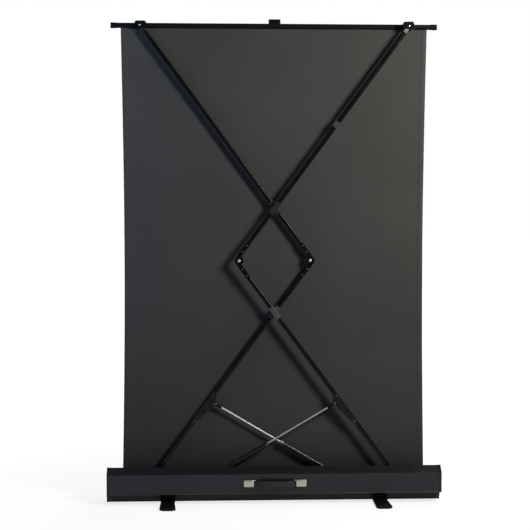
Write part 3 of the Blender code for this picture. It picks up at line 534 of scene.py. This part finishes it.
def halfWidth(share):
    return sheetHalf - screenSheet["waist"] * sin(pi * share)


def ripple(across, share):
    # soft tension waves near the free sides, none at the batten, the roller or the middle
    wave = sum(size * sin(turns * pi * share + lean * across) for size, turns, lean in screenSheet["waves"])
    return screenSheet["ripple"] * abs(across) ** 3 * wave * max(sin(pi * share), 0.0) ** 0.5


def buildSheet(work):
    columns, rows = screenSheet["columns"], screenSheet["rows"]
    layers = []
    for side in (-1, 1):
        grid = []
        for row in range(rows + 1):
            share = row / rows
            line = []
            for column in range(columns + 1):
                across = 2 * column / columns - 1
                y = sheetY + side * sheetThick / 2 + ripple(across, share)
                line.append(work.verts.new((across * halfWidth(share), y, sheetBase + share * sheetHeight)))
            grid.append(line)
        layers.append(grid)
    for slot, grid in enumerate(layers):
        for row in range(rows):
            for column in range(columns):
                face = work.faces.new((grid[row][column], grid[row][column + 1],
                                       grid[row + 1][column + 1], grid[row + 1][column]))
                face.material_index = slot
    rim = [(row, 0) for row in range(rows)]
    rim += [(rows, column) for column in range(columns)]
    rim += [(row, columns) for row in range(rows, 0, -1)]
    rim += [(0, column) for column in range(columns, 0, -1)]
    rear, front = layers
    for (row, column), (nextRow, nextColumn) in zip(rim, rim[1:] + rim[:1]):
        work.faces.new((rear[row][column], rear[nextRow][nextColumn],
                        front[nextRow][nextColumn], front[row][column]))


def foldAway(piece):
    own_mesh(piece)


screen = addPiece("screenSheet", "case", [screenRear, screenFront], buildSheet, smooth=60)
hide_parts("screen_fabric")
foldAway(screen)

# welded strips, each with its cross-section as (distance from the edge, height over the sheet)
hemLift = 0.00045
hemStrips = {"sides": [(0.0004, touch), (0.0012, hemLift), (0.022, hemLift), (0.0232, touch)],
             "top": [(0.001, touch), (0.0016, hemLift), (0.016, hemLift), (0.017, touch)],
             "topEnds": 0.024, "topSteps": 20}


def buildHems(work):
    # down both sides and along the batten, on the rear face
    rows = screenSheet["rows"]
    face = sheetY - sheetThick / 2
    for side in (-1, 1):
        strip = []
        for row in range(rows + 1):
            share = row / rows
            half = halfWidth(share)
            line = []
            for inset, out in hemStrips["sides"]:
                y = face - out + ripple(side * (half - inset) / half, share)
                line.append(Vector((side * (half - inset), y, sheetBase + share * sheetHeight)))
            strip.append(line)
        sweep(work, strip)
    strip = []
    end = halfWidth(1) - hemStrips["topEnds"]
    for column in range(hemStrips["topSteps"] + 1):
        x = -end + 2 * end * column / hemStrips["topSteps"]
        strip.append([Vector((x, face - out, sheetTop - down)) for down, out in hemStrips["top"]])
    sweep(work, strip)


hems = addPiece("sheetHems", "case", [screenRear], buildHems, smooth=60)
foldAway(hems)


# fabric left on the roller

# thick and last are shares of the distance between turns
rollWound = {"turns": 5, "perTurn": 40, "inner": 0.0203, "thick": 0.8, "last": 0.85}
wrapLow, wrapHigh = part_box("fabric_wrap")
rollY, rollZ = (wrapLow[1] + wrapHigh[1]) / 2, (wrapLow[2] + wrapHigh[2]) / 2
rollOuter = (wrapHigh[2] - wrapLow[2]) / 2


def buildRoll(work):
    count = rollWound["turns"] * rollWound["perTurn"]
    pitch = (rollOuter - rollWound["inner"]) / rollWound["turns"]
    growth = rollOuter - rollWound["inner"] - rollWound["last"] * pitch
    sections = []
    for i in range(count + 1):
        # the last turn ends where the sheet leaves
        angle = pi + tau * i / rollWound["perTurn"]
        inner = rollWound["inner"] + growth * i / count
        outer = inner + rollWound["thick"] * pitch
        corners = ((inner, wrapLow[0]), (outer, wrapLow[0]), (outer, wrapHigh[0]), (inner, wrapHigh[0]))
        sections.append([Vector((x, rollY + radius * cos(angle), rollZ + radius * sin(angle)))
                         for radius, x in corners])
    sweep(work, sections)


roll = addPiece("fabricRoll", "roller", [screenRear], buildRoll, smooth=60)
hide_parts("fabric_wrap")
print("roll of fabric made")


# carrying strap and its metal ends

# edge is (distance from the strap's edge, share of half the thickness outwards): crowned, with a groove
strap = {"grip": 0.085, "tuck": 0.016, "bow": 0.022, "power": 6, "width": 0.0245, "thick": 0.004, "steps": 64,
         "edge": [(0.0, -0.3), (0.0008, 0.75), (0.0025, 0.92), (0.0033, 0.70), (0.0042, 0.92), (0.008, 1.0)],
         "backEdge": (0.0008, -0.95)}
strapLow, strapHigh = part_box("handle_strap")
strapSeat = strapHigh[1] - strap["thick"] / 2
strapZ = (strapLow[2] + strapHigh[2]) / 2
strapVinyl = mouldedPlastic("strapVinyl", {
    "dark": (0.0142, 0.0146, 0.0172), "light": (0.0208, 0.0212, 0.0245), "polished": grey(0.05),
    "cloud": 60, "spark": 900, "sparkDepth": 0.25, "rough": (0.40, 0.52), "edge": 0.0008, "gloss": 0.3})


def strapPlace(x):
    # how far out the strap lies there, and its slope
    if abs(x) >= strap["grip"]:
        return strapSeat, 0.0
    # it stands off the case soon after the ends, and nearly straight between
    share, power = x / strap["grip"], strap["power"]
    rest = 1 - share ** power
    slope = strap["bow"] * 2 * power * share ** (power - 1) * rest / strap["grip"]
    return strapSeat - strap["bow"] * rest ** 2, slope


def buildStrap(work):
    end = strap["grip"] + strap["tuck"]
    half, thick = strap["width"] / 2, strap["thick"] / 2
    edge = [(half - inset, out) for inset, out in strap["edge"]]
    backInset, back = strap["backEdge"]
    outline = [(-up, out) for up, out in edge] + edge[::-1]
    outline += [(half - backInset, back), (0, -1.0), (-half + backInset, back)]
    sections = []
    for i in range(strap["steps"] + 1):
        x = -end + 2 * end * i / strap["steps"]
        y, slope = strapPlace(x)
        tilt = atan(slope)
        sections.append([Vector((x + sin(tilt) * out * thick, y - cos(tilt) * out * thick, strapZ + up))
                         for up, out in outline])
    sweep(work, sections)


strapPiece = addPiece("carryStrap", "case", [strapVinyl], buildStrap, smooth=50)
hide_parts("handle_strap")

capFace = {"corner": 0.0040, "leastCorner": 0.0008, "cornerSteps": 5,
           "steps": [(0.0004, -0.0002), (0.0007, 0.0004), (0.0016, 0.0010), (0.0035, 0.0013),
                     (0.0080, 0.0015)]}
# run is (distance past the cap, depth of the lip there)
keeperLip = {"run": [(-0.0006, 0.0032), (0.0050, 0.0030), (0.0074, 0.0022), (0.0080, 0.0016)],
             "proud": 0.0004, "round": (0.0002, 0.0007), "top": 0.0003, "back": 0.001}


def roundedOutline(width, height, corner):
    points = []
    count = capFace["cornerSteps"]
    for quarter, (sideX, sideZ) in enumerate(((1, 1), (-1, 1), (-1, -1), (1, -1))):
        for i in range(count + 1):
            angle = pi / 2 * (quarter + i / count)
            points.append((sideX * (width / 2 - corner) + corner * cos(angle),
                           sideZ * (height / 2 - corner) + corner * sin(angle)))
    return points


def buildCapFaces(work):
    # crowned fronts pressed into the strap's end caps
    for node in ("handle_left_cap", "handle_right_cap"):
        low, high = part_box(node)
        middle = ((low[0] + high[0]) / 2, (low[2] + high[2]) / 2)
        sections = []
        for inset, rise in capFace["steps"]:
            outline = roundedOutline(high[0] - low[0] - 2 * inset, high[2] - low[2] - 2 * inset,
                                     max(capFace["corner"] - inset, capFace["leastCorner"]))
            sections.append([Vector((middle[0] + x, low[1] - rise, middle[1] + z)) for x, z in outline])
        sweep(work, sections)
        # keeper lip over the strap, at the top of the cap's inner end
        way = 1 if middle[0] < 0 else -1
        inner = high[0] if way > 0 else low[0]
        front, back = low[1] - keeperLip["proud"], high[1] - keeperLip["back"]
        roundBack, roundDown = keeperLip["round"]
        lip = []
        for along, depth in keeperLip["run"]:
            corners = ((front, roundDown), (low[1] + roundBack, keeperLip["top"]), (back, keeperLip["top"]),
                       (back, depth), (front, depth))
            lip.append([Vector((inner + way * along, y, high[2] - down)) for y, down in corners])
        sweep(work, lip)


addPiece("strapCapFaces", "case", [handleMetal], buildCapFaces, smooth=50)
print("strap made")


# rounded bead along the joint of tray and covers

bead = {"radius": 0.0022, "squeeze": 0.7, "below": 0.002, "endGap": 0.0002, "steps": 10}
trayLow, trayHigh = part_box("base_tray")
# the bead's light colour is a painted highlight: the case's black coat made lighter for the light its rounded
# rim catches
beadHighlightCoat = coatedMetal("beadHighlightCoat", {
    "dark": (0.031, 0.031, 0.0355), "light": (0.038, 0.038, 0.0435), "mottle": 12, "stretch": (0.2, 1, 1),
    "rough": (0.22, 0.32), "peel": 900, "peelDepth": 0.04, "edge": 0.0004, "wear": 0.2, "gloss": 0.45})


def buildBeads(work):
    z = trayHigh[2] - bead["below"]
    for side, y in ((-1, trayLow[1]), (1, trayHigh[1])):
        outline = [(y + side * bead["radius"] * bead["squeeze"] * cos(angle), z + bead["radius"] * sin(angle))
                   for angle in halfTurn(bead["steps"], -pi / 2)]
        ends = (trayLow[0] + bead["endGap"], trayHigh[0] - bead["endGap"])
        sweep(work, [[Vector((x, *point)) for point in outline] for x in ends])


addPiece("rimBeads", "case", [beadHighlightCoat], buildBeads, smooth=60)


# felt strips inside the lips of the mouth, which wipe the sheet as it winds in

felt = {"thick": 0.0010, "tall": 0.008, "below": 0.001, "inset": 0.004, "round": 0.0006, "crown": 0.0002}
feltPile = mouldedPlastic("feltPile", {
    "dark": grey(0.006), "light": grey(0.014), "polished": grey(0.02),
    "cloud": 300, "spark": 2600, "sparkDepth": 0.8, "rough": (0.85, 0.95), "edge": 0.0004, "gloss": 0.1})


def buildFelt(work):
    for node, side in (("rear_cover", -1), ("front_cover", 1)):
        low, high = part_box(node)
        lip = high[1] if side < 0 else low[1]
        top, bottom = high[2] - felt["below"], high[2] - felt["below"] - felt["tall"]
        inner = lip - side * felt["thick"]
        outline = ((lip, bottom), (inner, bottom + felt["round"]),
                   (inner - side * felt["crown"], (top + bottom) / 2),
                   (inner, top - felt["round"]), (lip, top))
        ends = (low[0] + felt["inset"], high[0] - felt["inset"])
        sweep(work, [[Vector((x, y, z)) for y, z in outline] for x in ends])


addPiece("lipFelt", "case", [feltPile], buildFelt)
print("bead and felt made")


# rivets and screws

# domes are (radius, height)
domes = {"small": (0.0030, 0.0010), "elbow": (0.0060, 0.0022), "top": (0.0040, 0.0016),
         "rail": (0.0028, 0.0014), "pin": (0.0046, 0.0003)}
domeRings = 5
# face is how far the metal stands before the arm's layer, and along is measured from the elbow
plateHeads = {"upperFace": 0.0126, "lowerFace": 0.0103, "along": (0.036, 0.067)}
# here along and middle are measured from the base pivot
bracketHeads = {"face": 0.0103, "middle": 0.463, "along": (0.3585, 0.4845)}
socketScrew = {"profile": [(0.0042, -0.0004), (0.0042, 0.0006), (0.0037, 0.0012), (0.0028, 0.0014),
                           (0.0019, 0.0014), (0.0018, 0.0003), (0.0, 0.0003)], "hexRings": (4, 5)}


def buildDome(work, centre, kind, direction=(0, -1, 0)):
    radius, height = domes[kind]
    angles = [pi / 2 * (domeRings - i) / domeRings for i in range(domeRings + 1)]
    lathe(work, [(radius * cos(angle), height * sin(angle)) for angle in angles], facing(centre, direction))


def plateRivets(side, upper):
    # the two small rivets of an elbow plate
    raised, offset = linkage["raised"], linkage["elbowOffset"]
    face = layerOf(side) - (plateHeads["upperFace"] if upper else plateHeads["lowerFace"])
    elbowX, elbowZ = elbowPoint()
    way = 1 if upper else -1
    centres = []
    for along in plateHeads["along"]:
        x = elbowX - along * cos(raised) + offset * sin(raised)
        z = elbowZ + way * (along * sin(raised) + offset * cos(raised))
        centres.append(Vector((side * x, face, z)))
    return centres


def bracketRivets(side):
    # the two small rivets of a strut bracket, on the line of the lower arm's tube
    raised = linkage["raised"]
    aside = bracketHeads["middle"] * linkage["elbowOffset"] / linkage["armLength"]
    centres = []
    for along in bracketHeads["along"]:
        x = -linkage["pivotSpan"] + along * cos(raised) + aside * sin(raised)
        z = linkage["pivotHeight"] + along * sin(raised) - aside * cos(raised)
        centres.append(Vector((side * x, layerOf(side) - bracketHeads["face"], z)))
    return centres


def headOf(node):
    low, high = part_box(node)
    return Vector(((low[0] + high[0]) / 2, low[1] - touch, (low[2] + high[2]) / 2))


def strutPin(side, arm):
    x, z = linkage["strutTop"]
    return Vector((side * x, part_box(arm + "_strut_bracket")[0][1] + touch, z))


def addHeads(name, body, finish, heads):
    def build(work):
        for centre, kind in heads:
            buildDome(work, centre, kind)
    addPiece(name, body, [finish], build, smooth=60)


for side, arm in chains:
    lowerHeads = [(centre, "small") for centre in plateRivets(side, False) + bracketRivets(side)]
    lowerHeads.append((strutPin(side, arm), "pin"))
    addHeads(arm + "LowerRivets", arm + "_lower_arm", dullSteel, lowerHeads)
    elbow = "front_elbow_rivet" if side > 0 else "rear_elbow_rivet"
    addHeads(arm + "ElbowHead", arm + "_lower_arm", rivetSteel, [(headOf(elbow), "elbow")])
    upperHeads = [(centre, "small") for centre in plateRivets(side, True)]
    addHeads(arm + "UpperRivets", arm + "_upper_arm", dullSteel, upperHeads)
addHeads("battenHeads", "batten", rivetSteel, [(headOf(rivet), "top") for rivet in both("top_rivet")])


# front cheeks that hold the arm ends on the saddles, each joined to its saddle by a roof

cheeks = {"outline": [(0.0166, 0.0035), (0.0166, 0.0170), (-0.0200, 0.0170), (-0.0285, 0.0060),
                      (-0.0285, -0.0060), (-0.0120, -0.0110), (0.0040, -0.0125)],
          "back": 0.0049, "front": 0.0063, "hole": 0.0063, "chamfer": 0.0005,
          "roof": [(-0.0215, 0.0140), (0.0160, 0.0140), (0.0160, 0.0168), (-0.0198, 0.0168)],
          "roofSink": 0.0002, "saddle": 0.0060, "spokes": 48}


def edgeAt(angle):
    # how far the cheek's edge lies from the pivot, in one direction
    parallel, slack = 1e-12, 1e-9
    way = Vector((cos(angle), sin(angle)))
    corners = [Vector(corner) for corner in cheeks["outline"]]
    for start, end in zip(corners, corners[1:] + corners[:1]):
        run = end - start
        turn = way.x * run.y - way.y * run.x
        if abs(turn) < parallel:
            continue
        far = (start.x * run.y - start.y * run.x) / turn
        share = (start.x * way.y - start.y * way.x) / turn
        if far > 0 and -slack <= share <= 1 + slack:
            return far
    return cheeks["hole"]


def buildCheeks(work):
    angles = [tau * i / cheeks["spokes"] for i in range(cheeks["spokes"])]
    angles = sorted(angles + [atan2(z, x) % tau for x, z in cheeks["outline"]])
    back, front, chamfer, hole = -cheeks["back"], -cheeks["front"], cheeks["chamfer"], cheeks["hole"]
    for side in (-1, 1):
        # the arm that ends on the left at the batten belongs to the chain that starts there
        centre = Vector((side * linkage["pivotSpan"], layerOf(-side), headOf("left_top_rivet").z))
        spokes = []
        for angle in angles:
            reach = edgeAt(angle)
            rings = [(reach, back), (reach, front + chamfer), (reach - chamfer, front)]
            rings += [(hole, front), (hole, back)]
            spokes.append([work.verts.new(centre + Vector((side * far * cos(angle), y, far * sin(angle))))
                           for far, y in rings])
        for spoke, after in zip(spokes, spokes[1:] + spokes[:1]):
            for i in range(len(spoke)):
                j = (i + 1) % len(spoke)
                work.faces.new((spoke[i], spoke[j], after[j], after[i]))
        rows = []
        for y in (back + cheeks["roofSink"], cheeks["saddle"]):
            rows.append([centre + Vector((side * x, y, z)) for x, z in cheeks["roof"]])
        sweep(work, rows)


addPiece("battenCheeks", "batten", [armCoat], buildCheeks, smooth=30)

# places of the screws on an end cap in Y and Z, and of the one through the sloping wall of the tray
caseScrews = {"ends": [(-0.046, 0.085), (0.046, 0.085), (0.0, 0.105)], "rail": (0.657, 0.06335, 0.026),
              "railWay": (0.876, -0.483)}


def buildCaseScrews(work):
    railX, railY, railZ = caseScrews["rail"]
    outwards, down = caseScrews["railWay"]
    for side, node in ((-1, "left_end_cap"), (1, "right_end_cap")):
        low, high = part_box(node)
        end = high[0] if side > 0 else low[0]
        for y, z in caseScrews["ends"]:
            lathe(work, socketScrew["profile"], facing((end, y, z), (side, 0, 0)),
                  hexRings=socketScrew["hexRings"])
        for way in (-1, 1):
            buildDome(work, (side * railX, way * railY, railZ), "rail", (0, way * outwards, down))


addPiece("caseScrews", "case", [dullSteel], buildCaseScrews, smooth=50)
print("rivets and screws made")


# rings on the gas struts

def strutPoint(side, distance):
    top, foot = Vector(linkage["strutTop"]), Vector(linkage["strutFoot"])
    point = top + (foot - top).normalized() * distance
    return Vector((side * point[0], layerOf(side), point[1]))


def addStrutRings(label, part, finish, profile, distance):
    ahead = 0.1
    for side, arm in chains:
        start = strutPoint(side, distance)
        place = facing(start, strutPoint(side, distance + ahead) - start)
        addPiece(arm + label, arm + part, [finish],
                 lambda work: lathe(work, profile, place, loop=True), smooth=35)


# collars at the mouths of the strut tubes
collar = {"profile": [(0.0046, -0.0006), (0.0080, -0.0016), (0.0096, -0.0006), (0.0099, 0.0020),
                      (0.0095, 0.0036), (0.0099, 0.0052), (0.0099, 0.0105), (0.0093, 0.0112),
                      (0.0088, 0.0112), (0.0046, 0.0)]}
addStrutRings("StrutCollar", "_strut_tube", dullSteel, collar["profile"], linkage["rodShown"])

# black boots over the fittings at the rod ends
boot = {"profile": [(0.0046, 0.0075), (0.0057, 0.0080), (0.0060, 0.0110), (0.0054, 0.0125),
                    (0.0054, 0.0150), (0.0058, 0.0160), (0.0056, 0.0290), (0.0049, 0.0325),
                    (0.0044, 0.0330), (0.0046, 0.0300)]}
addStrutRings("RodBoot", "_strut_rod", capPlastic, boot["profile"], 0.0)
print("strut collars and boots made")


# batten end rings and grip ribs on the pull clip

# rings are (distance from the end, width)
battenEnds = {"rings": [(0.0, 0.0060), (0.0095, 0.0020), (0.0145, 0.0020)], "radius": 0.0119,
              "sink": 0.0003, "backEdge": 0.0003, "round": 0.0004, "segments": 28}
clipRibs = {"count": 3, "pitch": 0.0034, "radius": 0.0008, "inset": 0.004, "thick": 0.007, "top": 0.0045,
            "endRun": 0.001, "endShare": 0.3, "steps": 6}


def buildBattenRings(work):
    outer, soft = battenEnds["radius"], battenEnds["round"]
    for side, node in ((-1, "left_batten_cap"), (1, "right_batten_cap")):
        low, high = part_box(node)
        end = high[0] if side > 0 else low[0]
        core = (high[2] - low[2]) / 2 - battenEnds["sink"]
        centre = Vector((end, (low[1] + high[1]) / 2, (low[2] + high[2]) / 2))
        for back, width in battenEnds["rings"]:
            start = -back - width
            profile = [(core, start), (outer - battenEnds["backEdge"], start), (outer, start + soft),
                       (outer, -back - soft), (outer - soft, -back), (core, -back)]
            lathe(work, profile, facing(centre, (side, 0, 0)), battenEnds["segments"], loop=True)


def buildClipRibs(work):
    low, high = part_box("pull_clip")
    radius, inset = clipRibs["radius"], clipRibs["inset"]
    stations = barStations(low[0] + inset, high[0] - inset, clipRibs["endRun"], clipRibs["endShare"])
    for way in (-1, 1):
        face = sheetY + way * clipRibs["thick"] / 2
        for i in range(clipRibs["count"]):
            z = high[2] - clipRibs["top"] - i * clipRibs["pitch"]
            rows = []
            for x, share in stations:
                rows.append([Vector((x, face + way * share * radius * cos(angle), z + radius * sin(angle)))
                             for angle in halfTurn(clipRibs["steps"], -pi / 2)])
            sweep(work, rows)


addPiece("battenRings", "batten", [capPlastic], buildBattenRings, smooth=35)
addPiece("clipRibs", "batten", [capPlastic], buildClipRibs, smooth=50)


# pressed ribs and tip treads on the feet

footRibs = {"height": 0.0009, "halfWidth": 0.0045, "aside": 0.014, "from": 0.092, "to": 0.140, "steps": 12,
            "taper": 6, "tip": 0.1, "arcSteps": 8}
footTreads = {"count": 3, "pitch": 0.006, "from": 0.148, "half": 0.020, "halfWidth": 0.0016, "height": 0.0009,
              "endRun": 0.002, "endShare": 0.2, "arcSteps": 6}


def buildFootRibs(work, node):
    low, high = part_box(node)
    top, middle = high[2] - touch, (low[0] + high[0]) / 2
    tip = footRibs["tip"]
    for way in (-1, 1):
        for aside in (-footRibs["aside"], footRibs["aside"]):
            rows = []
            for i in range(footRibs["steps"] + 1):
                share = i / footRibs["steps"]
                taper = min(1.0, footRibs["taper"] * share, footRibs["taper"] * (1 - share)) * (1 - tip) + tip
                wide, tall = taper * footRibs["halfWidth"], taper * footRibs["height"]
                y = way * (footRibs["from"] + (footRibs["to"] - footRibs["from"]) * share)
                rows.append([Vector((middle + aside + wide * cos(angle), y, top + tall * sin(angle)))
                             for angle in halfTurn(footRibs["arcSteps"])])
            sweep(work, rows)
        half = footTreads["half"]
        for i in range(footTreads["count"]):
            y = way * (footTreads["from"] + i * footTreads["pitch"])
            rows = []
            for x, share in barStations(-half, half, footTreads["endRun"], footTreads["endShare"]):
                wide, tall = share * footTreads["halfWidth"], share * footTreads["height"]
                rows.append([Vector((middle + x, y + wide * cos(angle), top + tall * sin(angle)))
                             for angle in halfTurn(footTreads["arcSteps"])])
            sweep(work, rows)


for name in both("foot"):
    addPiece(name.replace("_foot", "FootRibs"), name, [footCoat],
             lambda work: buildFootRibs(work, name), smooth=50)
print("batten and foot details made")


# lights, floor and camera

lamps = {
    "key": {"at": (1.9, -1.9, 2.3), "aim": (0, 0, 1.25), "size": 0.72, "power": 104,
            "colour": (1.0, 0.975, 0.87)},
    "fill": {"at": (-1.05, -0.4, 1.6), "aim": (-0.2, 0, 1.55), "size": 0.3, "tall": 2.0, "power": 5.0,
             "colour": (0.60, 0.82, 1.30)},
    "behind": {"at": (1.6, 2.8, 1.9), "aim": (0, 0, 1.0), "size": 3.0, "power": 100, "colour": grey(1.0)},
}
for name, look in lamps.items():
    lamp = bpy.data.lights.new(name + "Lamp", "AREA")
    lamp.shape = "RECTANGLE"
    lamp.size = look["size"]
    lamp.size_y = look.get("tall", look["size"])
    lamp.energy = look["power"]
    lamp.color = look["colour"]
    holder = bpy.data.objects.new(name + "Lamp", lamp)
    holder.location = look["at"]
    holder.rotation_euler = (Vector(look["aim"]) - Vector(look["at"])).to_track_quat("-Z", "Y").to_euler()
    holder.visible_camera = False
    scene.collection.objects.link(holder)

room = {"ambient": 0.055, "lampSide": 0.08, "farSide": 0.15, "sideSpan": (-0.2, 0.6)}
world = bpy.data.worlds.new("studioWorld")
world.use_nodes = True
scene.world = world
tree = world.node_tree
path = addNode(tree, "ShaderNodeLightPath")
way = splitAxes(tree, addNode(tree, "ShaderNodeTexCoord").outputs["Generated"])
# in reflections the room is dim on the side of the key lamp and lighter behind the screen
sideTone = spread(tree, way["Y"], room["lampSide"], room["farSide"], *room["sideSpan"])
shown = calc(tree, "MAXIMUM", path.outputs["Is Camera Ray"], path.outputs["Is Transmission Ray"])
mirrored = calc(tree, "MULTIPLY", path.outputs["Is Glossy Ray"], sideTone)
level = calc(tree, "MAXIMUM", calc(tree, "MAXIMUM", shown, mirrored), room["ambient"])
plug(tree, tree.nodes["Background"], {"Strength": level, "Color": (1, 1, 1, 1)})

floorLook = {"half": 30.0, "paper": 0.90, "bounce": 0.18, "glow": 1.08, "share": 0.80,
             "shareSpan": (0.8, 2.2), "contact": 0.35, "contactSamples": 8, "seenContact": 0.10,
             "pool": (1.2, 3.2), "farGlow": 0.12}
floorMesh = bpy.data.meshes.new("studioFloor")
half = floorLook["half"]
corners = [(-half, -half, 0), (half, -half, 0), (half, half, 0), (-half, half, 0)]
floorMesh.from_pydata(corners, [], [(0, 1, 2, 3)])
floorSheet = bpy.data.objects.new("studioFloor", floorMesh)
scene.collection.objects.link(floorSheet)
floorPaper = bpy.data.materials.new("floorPaper")
floorPaper.use_nodes = True
tree = floorPaper.node_tree
tree.nodes.remove(tree.nodes["Principled BSDF"])
path = addNode(tree, "ShaderNodeLightPath")
shown = calc(tree, "MAXIMUM", path.outputs["Is Camera Ray"], path.outputs["Is Glossy Ray"])
shown = calc(tree, "MAXIMUM", shown, path.outputs["Is Transmission Ray"])
# pale paper to look at, which throws only a little light back up
paperTone = spread(tree, shown, floorLook["bounce"], floorLook["paper"], 0.0, 1.0)
paper = addNode(tree, "ShaderNodeBsdfDiffuse", {"Color": paperTone})
place = addNode(tree, "ShaderNodeNewGeometry").outputs["Position"]
away = addNode(tree, "ShaderNodeVectorMath", {0: place}, operation="LENGTH").outputs["Value"]
# reflections see a pool of light round the object, and contact shade close to it
mirrored = path.outputs["Is Glossy Ray"]
pool = spread(tree, away, 1.0, floorLook["farGlow"], *floorLook["pool"])
pool = calc(tree, "MAXIMUM", pool, calc(tree, "SUBTRACT", 1.0, mirrored))
near = addNode(tree, "ShaderNodeAmbientOcclusion", {"Distance": floorLook["contact"]},
               samples=floorLook["contactSamples"])
depth = spread(tree, mirrored, floorLook["seenContact"], 1.0, 0.0, 1.0)
covered = calc(tree, "MULTIPLY", calc(tree, "SUBTRACT", 1.0, near.outputs["AO"]), depth)
lit = calc(tree, "MULTIPLY", calc(tree, "SUBTRACT", 1.0, covered), pool)
glow = addNode(tree, "ShaderNodeEmission", {"Strength": calc(tree, "MULTIPLY", lit, floorLook["glow"])})
share = spread(tree, away, floorLook["share"], 1.0, *floorLook["shareSpan"])
blend = addNode(tree, "ShaderNodeMixShader", {
    "Fac": calc(tree, "MULTIPLY", shown, share), 1: paper.outputs["BSDF"], 2: glow.outputs["Emission"]})
plug(tree, tree.nodes["Material Output"], {"Surface": blend.outputs["Shader"]})
floorMesh.materials.append(floorPaper)

# fitted to the photo
shot = {"at": (-0.305, -5.476, 1.265), "pan": radians(2.791), "tilt": radians(-3.168),
        "roll": radians(0.056), "sensor": 36.0, "focal": 92.377}
pan, tilt = shot["pan"], shot["tilt"]
forward = Vector((sin(pan) * cos(tilt), cos(pan) * cos(tilt), sin(tilt)))
sideways = Vector((cos(pan), -sin(pan), 0))
turn = Matrix((sideways, sideways.cross(forward), -forward)).transposed().to_4x4()
camera = bpy.data.objects.new("photoCamera", bpy.data.cameras.new("photoCamera"))
camera.matrix_world = Matrix.Translation(shot["at"]) @ turn @ Matrix.Rotation(shot["roll"], 4, "Z")
camera.data.sensor_width = shot["sensor"]
camera.data.lens = shot["focal"]
scene.collection.objects.link(camera)
scene.camera = camera
print("lights, floor and camera set")
